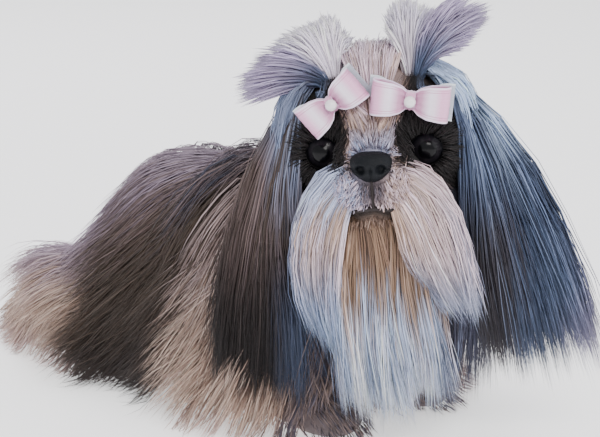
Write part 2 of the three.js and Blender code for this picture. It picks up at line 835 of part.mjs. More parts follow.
// Every node in order, as a maker of its solid grown by a margin
const bothMoustaches = [...moustacheCoat(-1), ...moustacheCoat(1)];
const torsoCoat = [...flankCoat(), ...rumpCoat(), ...chestCoat()];
const nodes = [
  { name: 'eye_left', make: (grow) => eyeSolid(1, grow), colour: 0x120d0c, roughness: 0.05 },
  { name: 'eye_right', make: (grow) => eyeSolid(-1, grow), colour: 0x120d0c, roughness: 0.05 },
  { name: 'pearl_left', make: (grow) => pearlSolid(1, grow), colour: 0xf2eeee, roughness: 0.25 },
  { name: 'pearl_right', make: (grow) => pearlSolid(-1, grow), colour: 0xf2eeee, roughness: 0.25 },
  { name: 'bow_left', make: (grow) => bowSolid(1, grow), colour: 0xe7b7cd, roughness: 0.45 },
  { name: 'bow_right', make: (grow) => bowSolid(-1, grow), colour: 0xe7b7cd, roughness: 0.45 },
  { name: 'nose', make: (grow) => noseSolid(grow).subtract(nostrils), colour: 0x16161c, roughness: 0.35 },
  { name: 'head', make: headNode(), colour: coatColour.cream },
  { name: 'muzzle', make: haired(muzzle, bothMoustaches), colour: coatColour.white },
  { name: 'chin', make: haired(chin, beardCoat()), colour: coatColour.cream },
  { name: 'topknot_left', make: topknotNode(1), colour: coatColour.white },
  { name: 'topknot_right', make: topknotNode(-1), colour: coatColour.white },
  { name: 'ear_left', make: earNode(1), colour: coatColour.slate },
  { name: 'ear_right', make: earNode(-1), colour: coatColour.dark },
  { name: 'neck', make: haired(neck, ruffCoat()), colour: coatColour.cream },
  { name: 'torso', make: haired(torso, torsoCoat), colour: coatColour.grey },
  { name: 'tail', make: haired(tail, plumeCoat()), colour: coatColour.white },
  { name: 'foreleg_left', make: haired(foreleg(1), forelegCoat(1)), colour: coatColour.cream },
  { name: 'foreleg_right', make: haired(foreleg(-1), forelegCoat(-1)), colour: coatColour.cream },
  { name: 'hindleg_left', make: haired(hindleg(1), hindlegCoat(1)), colour: coatColour.grey },
  { name: 'hindleg_right', make: haired(hindleg(-1), hindlegCoat(-1)), colour: coatColour.grey },
];

// Each node is cut clear of those before it, by their bare solids and by the same grown by the gap
let before = null;
for (const { name, make, colour, roughness } of nodes) {
  const bare = make(0);
  addNode(name, before ? bare.subtract(before) : bare, colour, roughness);
  const cleared = bare.add(make(gap));
  before = before ? before.add(cleared) : cleared;
}

export default group;
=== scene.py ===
# A long-coated small dog lying down, its crown hair in two topknots with satin bows and pearls
import math
import bpy
import numpy as np
from mathutils import Matrix, Vector


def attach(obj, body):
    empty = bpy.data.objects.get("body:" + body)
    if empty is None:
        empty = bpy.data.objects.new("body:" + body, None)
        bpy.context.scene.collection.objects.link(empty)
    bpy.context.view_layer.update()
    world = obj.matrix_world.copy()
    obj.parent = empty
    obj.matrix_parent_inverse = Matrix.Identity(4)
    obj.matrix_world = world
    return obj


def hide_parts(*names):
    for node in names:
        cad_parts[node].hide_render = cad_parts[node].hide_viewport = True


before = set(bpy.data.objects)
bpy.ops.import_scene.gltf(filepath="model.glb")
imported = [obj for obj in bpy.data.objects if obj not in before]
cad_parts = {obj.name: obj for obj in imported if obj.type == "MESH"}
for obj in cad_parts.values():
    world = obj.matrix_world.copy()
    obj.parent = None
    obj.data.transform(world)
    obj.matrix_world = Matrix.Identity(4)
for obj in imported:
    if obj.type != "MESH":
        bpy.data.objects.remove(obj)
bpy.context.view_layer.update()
print("Frame loaded,", len(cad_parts), "nodes")


def placed(name, data):
    made = bpy.data.objects.new(name, data)
    bpy.context.scene.collection.objects.link(made)
    return made


# Camera at the photo's angle, in degrees and metres
cameraSettings = {
    "azimuth": -43.0, "elevation": 14.0, "distance": 1.0, "lens": 111.0,
    "eyes": (-0.020, -0.135, 0.162), "aside": -0.0405, "below": -0.037,
}


def makeCamera(settings):
    azimuth, elevation = math.radians(settings["azimuth"]), math.radians(settings["elevation"])
    right = Vector((math.cos(azimuth), math.sin(azimuth), 0))
    level = math.cos(elevation)
    back = Vector((math.sin(azimuth) * level, -math.cos(azimuth) * level, math.sin(elevation)))
    up = back.cross(right)
    target = Vector(settings["eyes"]) + right * settings["aside"] + up * settings["below"]
    camera = placed("camera", bpy.data.cameras.new("camera"))
    turn = Matrix((right, up, back)).transposed().to_4x4()
    camera.matrix_world = Matrix.Translation(target + back * settings["distance"]) @ turn
    camera.data.sensor_width = 36
    camera.data.lens = settings["lens"]
    camera.data.clip_start = 0.02
    bpy.context.scene.camera = camera


makeCamera(cameraSettings)

# Soft studio light
lightSettings = {
    "key": {"place": (-0.7, -1.5, 1.6), "size": 1.1, "power": 30, "colour": (1.0, 0.97, 0.94)},
    "fill": {"place": (0.9, -1.5, 0.9), "size": 1.6, "power": 10, "colour": (0.93, 0.95, 1.0)},
    "rim": {"place": (0.5, 1.4, 1.5), "size": 1.0, "power": 18, "colour": (0.96, 0.92, 1.0)},
}


def makeLights(settings):
    for name, one in settings.items():
        light = placed(name, bpy.data.lights.new(name, "AREA"))
        light.data.shape = "DISK"
        light.data.size, light.data.energy, light.data.color = one["size"], one["power"], one["colour"]
        light.location = one["place"]
        light.rotation_euler = (Vector((0, 0, 0.1)) - light.location).to_track_quat("-Z", "Y").to_euler()
    world = bpy.data.worlds.new("studio")
    bpy.context.scene.world = world
    world.use_nodes = True
    background = world.node_tree.nodes["Background"]
    background.inputs["Color"].default_value = (0.95, 0.955, 0.97, 1)
    background.inputs["Strength"].default_value = 1.0


makeLights(lightSettings)

# Coat colours by name, from 0 to 255 as a screen shows them, then linear
hair = {
    "black": (17, 15, 18), "darkBrown": (44, 35, 34), "olive": (68, 56, 48), "taupe": (110, 93, 92),
    "mauve": (138, 123, 132), "lavender": (193, 177, 210), "slateDark": (47, 56, 80), "slate": (88, 102, 132),
    "slateLight": (145, 162, 198), "cream": (216, 192, 178), "beige": (180, 152, 137), "tan": (119, 92, 79),
    "gold": (156, 128, 104), "pinkWhite": (234, 212, 227), "white": (232, 231, 253), "blueWhite": (188, 209, 243),
}


def linear(colour):
    value = np.array(colour) / 255
    return np.where(value > 0.04045, ((value + 0.055) / 1.055) ** 2.4, value / 12.92)


hair = {name: linear(colour) for name, colour in hair.items()}


# Helpers for directions and numbers
def unit(ways):
    return ways / np.maximum(np.linalg.norm(ways, axis=-1, keepdims=True), 1e-9)


def stacked(x, y, z):
    return np.stack(np.broadcast_arrays(np.asarray(x, float), y, z), axis=-1)


def pairs(first, second):
    return np.stack([first, second], axis=-1)


def smoothStep(low, high, value):
    share = np.clip((value - low) / (high - low), 0, 1)
    return share * share * (3 - 2 * share)


# From one value, colour or named colour to another
def between(start, end, share):
    start, end = [hair[one] if isinstance(one, str) else np.asarray(one) for one in (start, end)]
    share = np.asarray(share)
    if start.ndim or end.ndim:
        share = share[..., None]
    return start * (1 - share) + end * share


# Lays colours over one another; each step ends with its amount, after one colour or two and the share between them
def layered(colour, *steps):
    for *over, amount in steps:
        colour = between(colour, between(*over) if len(over) == 3 else over[0], amount)
    return colour


# A smooth wandering value from about -1 to 1
def waves(places, size, seed):
    draw = np.random.default_rng(seed)
    total = 0
    for _ in range(5):
        way = unit(draw.normal(size=3))
        total = total + np.sin(places @ way * (6.283 / size) * draw.uniform(0.6, 1.5) + draw.uniform(0, 6.3))
    return total / 2.6


# The head's own frame: x to the dog's left, y towards the back of the skull, z up, between the eyes
headPlace = {"origin": (-20.0, -135.0, 162.0), "turn": -49.5, "roll": -3.6}


def spin(angle, axis):
    return Matrix.Rotation(math.radians(angle), 4, axis)


headMatrix = Matrix.Translation(headPlace["origin"]) @ spin(headPlace["turn"], "Z") @ spin(headPlace["roll"], "Y")
headFrame = np.array(headMatrix)


def toWorldWay(ways):
    return ways @ headFrame[:3, :3].T


def toWorld(places):
    return toWorldWay(places) + headFrame[:3, 3]


def toHead(places):
    return (places - headFrame[:3, 3]) @ headFrame[:3, :3]


# Forms of the body under the coat, in millimetres, as ellipsoids that flow into one another
bodySettings = {
    "blend": 14.0, "chestTop": 149.0, "ribTop": 136.0, "loinTop": 75.0, "rumpTop": 45.0,
    "floorSink": 3.5, "skinDepth": 1.5, "skinVoxel": 2.4, "skinFloor": 0.3,
}


def form(at, radii, turn=(0, 0, 0), inHead=False):
    place = Matrix.Translation(at)
    for angle, axis in zip(turn, "XYZ"):
        place = place @ spin(angle, axis)
    if inHead:
        place = Matrix(headFrame.tolist()) @ place
    return {"place": np.array(place), "inverse": np.array(place.inverted()), "radii": np.array(radii, float)}


def headForm(at, radii, turn=(0, 0, 0)):
    return form(at, radii, turn, True)


def barrel(y, top, halfWidth, halfLength):
    halfHeight = (bodySettings[top] + bodySettings["floorSink"]) / 2
    return form((0, y, bodySettings[top] - halfHeight), (halfWidth, halfLength, halfHeight))


def swollen(forms, extra):
    return [{**one, "radii": one["radii"] + extra} for one in forms]


torsoForms = [
    barrel(-40, "chestTop", 50, 58), barrel(20, "ribTop", 53, 78),
    barrel(82, "loinTop", 46, 58), barrel(126, "rumpTop", 42, 42),
]
neckForms = [form((3, -72, 106), (40, 36, 42)), form((10, -96, 134), (36, 33, 36))]
skullForms = [
    headForm((0, 38, 7), (44, 43, 42)), headForm((0, 18, 18), (31, 22, 24)),
    headForm((27, 16, -10), (19, 19, 24)), headForm((-27, 16, -10), (19, 19, 24)),
]
muzzleForms = [
    headForm((0, -10, -12), (22, 18, 14)), headForm((11, -15, -16), (14, 14, 12)),
    headForm((-11, -15, -16), (14, 14, 12)), headForm((0, -14, 0), (9, 12, 8)),
]
faceForms = skullForms + muzzleForms + [headForm((0, -6, -31), (18, 19, 12))]
earForms = [headForm((side * 48, 24, -1), (5, 18, 29), (0, side * -18, 0)) for side in (-1, 1)]
tailForms = [form((6, 160, 28), (12, 20, 10), (-18, 0, -20)), form((22, 180, 17), (20, 11, 8), (0, 8, 28))]


def forelegForms(side):
    return [
        form((side * 44, -52, 24), (20, 30, 26)), form((side * 42, -80, 17), (14, 38, 15)),
        form((side * 38, -104, 13), (13, 24, 14)), form((side * 36, -120, 11), (15, 20, 12.5)),
    ]


def hindlegForms(side):
    return [
        form((side * 47, 98, 27), (23, 46, 29)), form((side * 56, 66, 20), (19, 30, 21)),
        form((side * 60, 50, 11), (15, 32, 12.5)),
    ]


legForms = [one for side in (-1, 1) for one in forelegForms(side) + hindlegForms(side)]
allForms = torsoForms + neckForms + faceForms + earForms + tailForms + legForms


def distanceTo(places, forms):
    nearest = None
    blend = bodySettings["blend"]
    for one in forms:
        local = (places @ one["inverse"][:3, :3].T + one["inverse"][:3, 3]) / one["radii"]
        reach = np.linalg.norm(local, axis=-1)
        slope = np.linalg.norm(local / one["radii"], axis=-1)
        distance = reach * (reach - 1) / np.maximum(slope, 1e-6)
        if nearest is None:
            nearest = distance
        else:
            overlap = np.maximum(blend - np.abs(nearest - distance), 0) / blend
            nearest = np.minimum(nearest, distance) - overlap * overlap * blend / 4
    return nearest


def outwardAt(places, forms):
    slopes = [distanceTo(places + shift, forms) - distanceTo(places - shift, forms) for shift in np.eye(3) * 0.5]
    return unit(np.stack(slopes, axis=-1))


# Where lines from inside the forms come out of them
def surfaceAlong(origins, ways, forms):
    near, far = np.zeros(len(origins)), np.full(len(origins), 200.0)
    for _ in range(18):
        middle = (near + far) / 2
        inside = distanceTo(origins + ways * middle[:, None], forms) < 0
        near, far = np.where(inside, middle, near), np.where(inside, far, middle)
    return origins + ways * near[:, None]


# Markings of the body at places in millimetres; draw from 0 to 1 sets each tuft's own shade
def bodyColour(places, draw):
    x, z = places[:, 0], places[:, 2] + waves(places, 50, 4) * 5
    y = places[:, 1] + waves(places, 46, 3) * 7 + (draw - 0.5) * 12
    height = z + 0.45 * (y + 10) + (draw - 0.5) * 26
    saddle = layered(
        between("darkBrown", "olive", smoothStep(20, 75, height)),
        ("taupe", smoothStep(86, 128, height)),
        ("mauve", "lavender", 0.2, smoothStep(124, 150, height)),
        ("slateDark", "taupe", draw, smoothStep(18, -14, y) * smoothStep(84, 108, z) * 0.75),
    )
    pale = layered(
        between("cream", "beige", smoothStep(0.1, 0.8, draw)),
        ("mauve", "taupe", draw, smoothStep(34, 92, z) * 0.75),
        ("pinkWhite", smoothStep(24, 6, z) * 0.25),
    )
    rear = between(pale, "lavender", smoothStep(40, 72, z) * 0.6)
    strand = smoothStep(0.7, 0.84, draw) * smoothStep(-84, -58, y) * smoothStep(40, 62, z)
    pale = between(pale, "olive", strand * 0.85)
    return layered(
        between(saddle, rear, smoothStep(58, 90, y + (70 - z) * 0.3)),
        (pale, smoothStep(-24, -38, y)),
        ("taupe", "slateDark", smoothStep(0.3, 0.8, draw), smoothStep(-98, -110, y + (x + 80) * 0.15) * 0.85),
    )


# Markings of the head at places in its own frame
def headColour(local, draw):
    x, y, z = local[:, 0], local[:, 1], local[:, 2]
    wander = waves(local, 30, 9) * 3 + (draw - 0.5) * 6
    outside = np.abs(x)
    blaze = smoothStep(15.5, 9.5, outside + wander * 0.5 - smoothStep(0, 40, z) * 3) * smoothStep(-16, -6, z + 4)
    border = z + 0.65 * np.maximum(outside - 17, 0) + wander * 0.3
    snout = smoothStep(-3, -8, border) * smoothStep(16, 8, y) * smoothStep(38, 30, outside)
    bridge = smoothStep(13, 8, outside) * smoothStep(14, 4, z) * smoothStep(2, -6, y) * smoothStep(-8, -4, z)
    under = smoothStep(8, 4, outside) * smoothStep(-8, -11, z) * smoothStep(-24, -18, z) * smoothStep(0, -8, y)
    # Painted shade: fur darkened along the mouth line
    mouthShade = np.exp(-((z + 27 + 0.34 * outside) / 3.2) ** 2) * smoothStep(18, 10, outside) * smoothStep(0, -8, y)
    cold, warm = between("slateLight", "pinkWhite", draw), between("beige", "pinkWhite", draw)
    return layered(
        between("black", "darkBrown", draw * 0.5),
        ("slate", "slateLight", draw, smoothStep(45, 55, outside + wander)),
        ("beige", "pinkWhite", draw * 0.45, blaze),
        (cold, warm, smoothStep(-9, 3, x), snout),
        ("slateLight", "pinkWhite", draw * 0.6, bridge),
        ("slateDark", "taupe", draw, under * 0.85),
        ("tan", "beige", draw, smoothStep(-24, -29, z) * smoothStep(12, 4, y) * smoothStep(24, 18, outside)),
        ("darkBrown", mouthShade * 0.85),
        ("mauve", "cream", draw, smoothStep(26, 40, z) * smoothStep(12, 24, y)),
        ("taupe", "slate", draw, smoothStep(52, 70, y)),
    )


print("Forms and markings ready")


# Inputs of a node, by name or number, take a value or a link
def feed(tree, node, inputs):
    for key, value in dict(inputs).items():
        if isinstance(value, bpy.types.NodeSocket):
            tree.links.new(value, node.inputs[key])
        else:
            node.inputs[key].default_value = value


# Nodes of shaders go by the end of their kind's name
def addNode(tree, kind, inputs=(), **settings):
    node = tree.nodes.new(kind if kind.startswith(("Geometry", "NodeGroup")) else "ShaderNode" + kind)
    for key, value in settings.items():
        setattr(node, key, value)
    feed(tree, node, inputs)
    return node


def calculated(tree, operation, *values):
    return addNode(tree, "Math", enumerate(values), operation=operation).outputs[0]


def scaled(tree, vector, amount):
    return addNode(tree, "VectorMath", {"Vector": vector, "Scale": amount}, operation="SCALE").outputs["Vector"]


def combined(tree, *values):
    return addNode(tree, "CombineXYZ", enumerate(values)).outputs[0]


def separated(tree, vector):
    return addNode(tree, "SeparateXYZ", {"Vector": vector}).outputs


def ranged(tree, value, start, end, low=0.0, high=1.0):
    given = {"Value": value, "From Min": start, "From Max": end, "To Min": low, "To Max": high}
    return addNode(tree, "MapRange", given).outputs[0]


def noise(tree, place, scale, detail):
    return addNode(tree, "TexNoise", {"Vector": place, "Scale": scale, "Detail": detail}).outputs["Fac"]


def bumped(tree, height, strength, distance):
    return addNode(tree, "Bump", {"Height": height, "Strength": strength, "Distance": distance}).outputs["Normal"]


def attributeOf(tree, name, part):
    return addNode(tree, "Attribute", attribute_name=name).outputs[part]


def objectPlace(tree):
    return addNode(tree, "TexCoord").outputs["Object"]


def mixed(tree, share, first, second, blend="MIX"):
    return addNode(tree, "Mix", {"Factor": share, 6: first, 7: second}, data_type="RGBA", blend_type=blend).outputs[2]


# A colour ramp from stops, each a position with a colour or a level of grey
def ramped(tree, share, stops):
    node = addNode(tree, "ValToRGB", {"Fac": share})
    elements = node.color_ramp.elements
    while len(elements) < len(stops):
        elements.new(0.5)
    for element, (position, colour) in zip(elements, stops):
        element.position = position
        element.color = (*(colour if isinstance(colour, tuple) else [colour] * 3), 1)
    return node.outputs["Color"]


def newMaterial(name):
    material = bpy.data.materials.new(name)
    material.use_nodes = True
    tree = material.node_tree
    tree.nodes.clear()
    output, shader = addNode(tree, "OutputMaterial"), addNode(tree, "BsdfPrincipled")
    feed(tree, output, {"Surface": shader.outputs["BSDF"]})
    return material, tree, shader


def makeGroup(name, kind, inputs, outputs):
    group = bpy.data.node_groups.new(name, kind)
    for way, sockets in (("INPUT", inputs), ("OUTPUT", outputs)):
        for label, socket in sockets.items():
            group.interface.new_socket(label, in_out=way, socket_type="NodeSocket" + socket)
    return group, addNode(group, "NodeGroupInput").outputs, addNode(group, "NodeGroupOutput")


# Fine hairs within each tuft: streaks that run along it, lighter ones smoother
def strandGroup():
    group, given, made = makeGroup(
        "fineHairs", "ShaderNodeTree", {"Colour": "Color", "Place": "Vector", "Contrast": "Float"},
        {"Colour": "Color", "Roughness": "Float", "Height": "Float"},
    )
    across, along, own = separated(group, given["Place"])
    across = calculated(group, "MULTIPLY_ADD", own, 61.0, calculated(group, "MULTIPLY", across, 2.2))
    along = calculated(group, "MULTIPLY", along, 1.3)
    lightness = ranged(group, noise(group, combined(group, across, along, own), 2.4, 2.0), 0.3, 0.7)
    spread = calculated(group, "SUBTRACT", lightness, 0.5)
    level = calculated(group, "MULTIPLY_ADD", spread, given["Contrast"], 1.0)
    rough = calculated(group, "MULTIPLY_ADD", lightness, -0.14, 0.62)
    feed(group, made, {"Colour": scaled(group, given["Colour"], level), "Roughness": rough, "Height": lightness})
    return group


fineHairs = strandGroup()


def coatMaterial(name, contrast):
    material, tree, shader = newMaterial(name)
    colour, place = attributeOf(tree, "coatColour", "Color"), attributeOf(tree, "hairPlace", "Vector")
    group = addNode(tree, "Group", node_tree=fineHairs)
    feed(tree, group, {"Colour": colour, "Place": place, "Contrast": contrast})
    feed(tree, shader, {
        "Base Color": group.outputs["Colour"], "Roughness": group.outputs["Roughness"],
        "Normal": bumped(tree, group.outputs["Height"], 0.35, 0.0003),
        "Sheen Weight": 0.04, "Sheen Roughness": 0.4, "Specular IOR Level": 0.32,
    })
    return material


def skinMaterial():
    material, tree, shader = newMaterial("shortUnderfur")
    place = objectPlace(tree)
    fine, broad = noise(tree, place, 900.0, 3.0), noise(tree, place, 90.0, 2.0)
    level = ranged(tree, calculated(tree, "MULTIPLY_ADD", fine, 0.7, broad), 0.5, 1.2, 0.6, 1.25)
    feed(tree, shader, {
        "Base Color": scaled(tree, attributeOf(tree, "coatColour", "Color"), level),
        "Normal": bumped(tree, fine, 0.6, 0.0008), "Roughness": 0.8, "Sheen Weight": 0.05,
    })
    return material


# Meshes from arrays in millimetres
def metres(places):
    return (places * 0.001).astype(np.float32).ravel()


def meshFrom(name, places, triangles):
    mesh = bpy.data.meshes.new(name)
    mesh.vertices.add(len(places))
    mesh.vertices.foreach_set("co", metres(places))
    mesh.loops.add(triangles.size)
    mesh.loops.foreach_set("vertex_index", triangles.astype(np.int32).ravel())
    mesh.polygons.add(len(triangles))
    mesh.polygons.foreach_set("loop_start", np.arange(len(triangles), dtype=np.int32) * 3)
    mesh.polygons.foreach_set("use_smooth", np.full(len(triangles), True))
    mesh.update(calc_edges=True)
    return placed(name, mesh)


def setValues(mesh, name, values, kind="FLOAT_VECTOR", field="vector"):
    mesh.attributes.new(name, kind, "POINT").data.foreach_set(field, np.asarray(values, np.float32).ravel())


def setColours(mesh, colours):
    solid = np.concatenate([colours, np.ones((len(colours), 1))], axis=1)
    setValues(mesh, "coatColour", solid, "FLOAT_COLOR", "color")


def finishPiece(piece, material, slot, *nodes):
    piece.data.materials.append(material)
    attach(piece, "root")
    if nodes:
        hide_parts(*nodes)


# How far places are above the line between the lips, which slopes down to both sides
def offLipLine(local, below, slope):
    return local[:, 2] + below + slope * np.abs(local[:, 0])


# Skin over all the forms, closed and without a seam
def makeSkin(settings):
    spheres = []
    for one in allForms:
        bpy.ops.mesh.primitive_ico_sphere_add(subdivisions=4, radius=1)
        sphere = bpy.context.object
        places = np.array([vertex.co for vertex in sphere.data.vertices]) * one["radii"]
        places = places @ one["place"][:3, :3].T + one["place"][:3, 3]
        places[:, 2] = np.maximum(places[:, 2], settings["skinFloor"])
        sphere.data.vertices.foreach_set("co", metres(places))
        spheres.append(sphere)
    bpy.ops.object.select_all(action="DESELECT")
    for sphere in spheres:
        sphere.select_set(True)
    bpy.context.view_layer.objects.active = spheres[0]
    bpy.ops.object.join()
    skin = bpy.context.object
    remesh = skin.modifiers.new("remesh", "REMESH")
    remesh.mode = "VOXEL"
    remesh.voxel_size = settings["skinVoxel"] * 0.001
    bpy.ops.object.modifier_apply(modifier="remesh")
    mesh = skin.data
    places = np.zeros(len(mesh.vertices) * 3)
    mesh.vertices.foreach_get("co", places)
    places = places.reshape(-1, 3) * 1000
    for _ in range(4):
        shortfall = distanceTo(places, allForms) + settings["skinDepth"]
        places = places - outwardAt(places, allForms) * np.clip(shortfall, -2, 2)[:, None] * 0.8
    local = toHead(places)
    onLip = np.exp(-(offLipLine(local, 26, 0.35) / 1.6) ** 2)
    onLip = onLip * smoothStep(-6, -16, local[:, 1]) * smoothStep(18, 12, np.abs(local[:, 0]))
    places = places - outwardAt(places, allForms) * (onLip * 2.4)[:, None]
    places[:, 2] = np.maximum(places[:, 2], settings["skinFloor"])
    mesh.vertices.foreach_set("co", metres(places))
    mesh.polygons.foreach_set("use_smooth", np.full(len(mesh.polygons), True))
    mesh.update()
    draw = np.full(len(places), 0.5)
    onHead = smoothStep(6, -2, distanceTo(places, faceForms + earForms))
    # The skin takes the coat's markings, darkened as painted shade between the hairs
    colours = between(bodyColour(places, draw) * 0.75, headColour(local, draw) * 0.6, onHead)
    setColours(mesh, between(colours, "black", onLip))
    skin.name = mesh.name = "skin"
    mesh.materials.clear()
    print("Skin made,", len(mesh.polygons), "faces")
    finishPiece(
        skin, skinMaterial(), "coat_grey", "head", "muzzle", "chin", "neck", "torso", "tail", "ear_left", "ear_right",
        "foreleg_left", "foreleg_right", "hindleg_left", "hindleg_right",
    )


makeSkin(bodySettings)


# Draws each path towards the nearest of a few guides, more and more towards the tip
def clumped(paths, keys, clumps, strength, seed):
    draw = np.random.default_rng(seed)
    chosen = draw.choice(len(paths), min(clumps, len(paths)), replace=False)
    nearest = np.zeros(len(paths), int)
    for start in range(0, len(paths), 2000):
        part = keys[start:start + 2000, None] - keys[chosen][None]
        nearest[start:start + 2000] = np.argmin((part ** 2).sum(-1), axis=1)
    share = np.linspace(0, 1, paths.shape[1]) ** 1.4
    pull = share[None, :, None] * (strength * draw.uniform(0.5, 1.15, len(paths)))[:, None, None]
    return paths + (paths[chosen][nearest] - paths) * pull, nearest


# A little unrest across each path, growing towards the tip
def wandering(paths, amount, seed):
    draw = np.random.default_rng(seed)
    steps = np.linspace(0, 1, paths.shape[1])[None, :, None]
    total = np.zeros_like(paths)
    for wave in (1, 2.3):
        way = draw.normal(size=(len(paths), 1, 3)) * amount / wave
        start = draw.uniform(0, 6.3, (len(paths), 1, 1))
        total += way * (np.sin(steps * 6.283 * wave * 0.5 + start) - np.sin(start))
    return paths + total * steps ** 0.7


# Tufts are thin three-sided blades of hair along paths, drawn to a point
tuftSettings = {
    "roll": 0.22, "flat": 0.34, "root": 0.55, "widening": 0.45, "swell": 0.25, "thinning": 0.92, "lowest": 0.15,
    "margin": 0.01, "spread": 0.975, "patch": 0.003,
}


# One mesh of many tufts: their paths, outward ways, colours at each point, places on the coat and widths
def makeCoat(name, tufts, slot, seed, nodes=(), taper=1.7, contrast=0.7):
    settings = tuftSettings
    paths, outward, colours, keys, width = tufts
    count, points = paths.shape[:2]
    rings = points - 1
    each = rings * 3 + 1
    draw = np.random.default_rng(seed)
    ways = unit(np.gradient(paths, axis=1))
    side = unit(np.cross(ways, outward))
    up = unit(np.cross(side, ways))
    roll = draw.normal(0, settings["roll"], (count, 1, 1))
    side, up = side * np.cos(roll) + up * np.sin(roll), up * np.cos(roll) - side * np.sin(roll)
    share, swell = np.linspace(0, 1, points), settings["swell"]
    rising = settings["root"] + settings["widening"] * share / swell
    falling = 1 - (np.maximum(share - swell, 0) / (1 - swell)) ** taper * settings["thinning"]
    half = (width / 2)[:, None, None] * np.where(share < swell, rising, falling)[None, :, None]
    centre, half, side, up = [values[:, :rings] for values in (paths, half, side, up)]
    deep = up * half * settings["flat"]
    corners = np.stack([centre + side * half - deep, centre + deep, centre - side * half - deep], axis=2)
    places = np.concatenate([corners.reshape(count, rings * 3, 3), paths[:, rings:]], axis=1).reshape(-1, 3)
    places[:, 2] = np.maximum(places[:, 2], settings["lowest"])
    pattern, turns = [[0, 1, 2]], ((0, 1), (1, 2), (2, 0))
    for low in range(0, each - 4, 3):
        for one, following in turns:
            first, last = low + one, low + 3 + following
            pattern += [[first, low + 3 + one, last], [first, last, low + following]]
    pattern += [[each - 4 + one, each - 1, each - 4 + following] for one, following in turns]
    pattern = np.array(pattern)
    if np.linalg.det(places[pattern] - places[:each].mean(axis=0)).sum() < 0:
        pattern = pattern[:, ::-1]
    piece = meshFrom(name, places, (pattern[None] + (np.arange(count) * each)[:, None, None]).reshape(-1, 3))
    ringColours = np.repeat(colours[:, :rings], 3, axis=1)
    setColours(piece.data, np.concatenate([ringColours, colours[:, rings:]], axis=1).reshape(-1, 3))
    across = np.append(np.tile([-1.0, 0.0, 1.0], rings), 0.0)
    along = np.append(np.repeat(share[:rings], 3), 1.0)
    setValues(piece.data, "hairPlace", stacked(across, along, draw.random(count)[:, None]))
    low, high = keys.min(axis=0), keys.max(axis=0)
    rootPlace = settings["margin"] + settings["spread"] * (keys - low) / np.maximum(high - low, 1e-6)
    patch = pairs((across + 1) * settings["patch"] / 2, along * settings["patch"])
    unwrap = (rootPlace[:, None] + patch[pattern.ravel()][None]).astype(np.float32)
    piece.data.uv_layers.new(name="OFBake").data.foreach_set("uv", unwrap.ravel())
    finishPiece(piece, coatMaterial(name, contrast), slot, *nodes)


# Each tuft's colour along its length: painted shade darkening the root, its own lightness, a paler tip
def tuftColours(colours, points, seed, rootShade=0.5, tipLift=0.12, variety=0.22):
    draw = np.random.default_rng(seed)
    if colours.ndim == 2:
        colours = colours[:, None]
    share = np.linspace(0, 1, points)
    shade = rootShade + (1 - rootShade) * smoothStep(0, 0.4, share) + tipLift * smoothStep(0.6, 1, share)
    own = np.exp(draw.normal(0, variety, len(colours)))
    return np.clip(colours * shade[None, :, None] * own[:, None, None], 0, 0.95)


# Hair that lies along the body, marched from its roots clear of what it covers and of the floor; turning bends its lie
def layAlong(roots, over, lie, length, lift, points, sink=2.5, floor=1.2, turning=0):
    steps = points - 1
    out = outwardAt(roots, over)
    path, outward = [roots - out * sink], [out]
    place = roots + out * (lift * 0.4)[:, None]
    way = None
    for step in range(1, points):
        out = outwardAt(place, over)
        share = step / steps
        clearance = lift * min(1, 0.4 + share * 1.4)
        wanted = unit(lie - np.multiply(turning, share))
        near = distanceTo(place, over) < clearance + 3
        inward = np.minimum(0, (wanted * out).sum(axis=1))
        wanted = unit(wanted - np.where(near, inward, 0)[:, None] * out)
        way = wanted if way is None else unit(way * 0.45 + wanted * 0.55)
        pooled = np.where(place[:, 2] > floor + 1.5, 1, 0.35)
        place = place + way * (length / steps * pooled)[:, None]
        shortfall = np.maximum(clearance - distanceTo(place, over), 0)
        out = outwardAt(place, over)
        place = place + out * shortfall[:, None]
        place[:, 2] = np.maximum(place[:, 2], floor)
        low = np.clip(1 - place[:, 2] / 12, 0, 1)[:, None]
        path.append(place.copy())
        outward.append(unit(out * (1 - low) + np.array([0, 0, 1]) * low))
    return np.stack(path, axis=1), np.stack(outward, axis=1)


# Roots on a skin, from a middle line at a height along y and at an angle from straight up
def onSkin(forms, start, end, y, angle, side):
    start, end = np.array(start, float), np.array(end, float)
    share = np.clip((y - start[1]) / (end[1] - start[1]), 0, 1)
    origins = start + (end - start) * share[:, None]
    lean = np.radians(angle)
    ways = stacked(side * np.sin(lean), (y - origins[:, 1]) / 45, np.cos(lean))
    return surfaceAlong(origins, unit(ways), forms)


# Laid hair is clumped, stirred and coloured by the body's markings at one of its points
def bodyTufts(draw, laid, keys, settings, seeds, at=3, colour=bodyColour, **shades):
    paths, outward = laid
    if "clumps" in settings:
        paths, _ = clumped(paths, keys, settings["clumps"], settings["clumping"], seeds[0])
    paths = wandering(paths, settings["unrest"], seeds[1])
    colours = tuftColours(colour(paths[:, at], draw.random(len(paths))), settings["points"], seeds[2], **shades)
    return paths, outward, colours, keys, draw.uniform(*settings["width"], len(paths))


def joinedTufts(groups):
    return [np.concatenate(parts) for parts in zip(*groups)]


flankSettings = {
    "sides": {"Right": (-1, 6700, 11), "Left": (1, 3300, 12)}, "length": (56, 84), "lift": (0.5, 10.0), "points": 6,
    "width": (0.5, 1.25), "clumps": 560, "clumping": 0.45, "unrest": 2.2, "line": ((0, -50, 60), (0, 126, 32)),
}


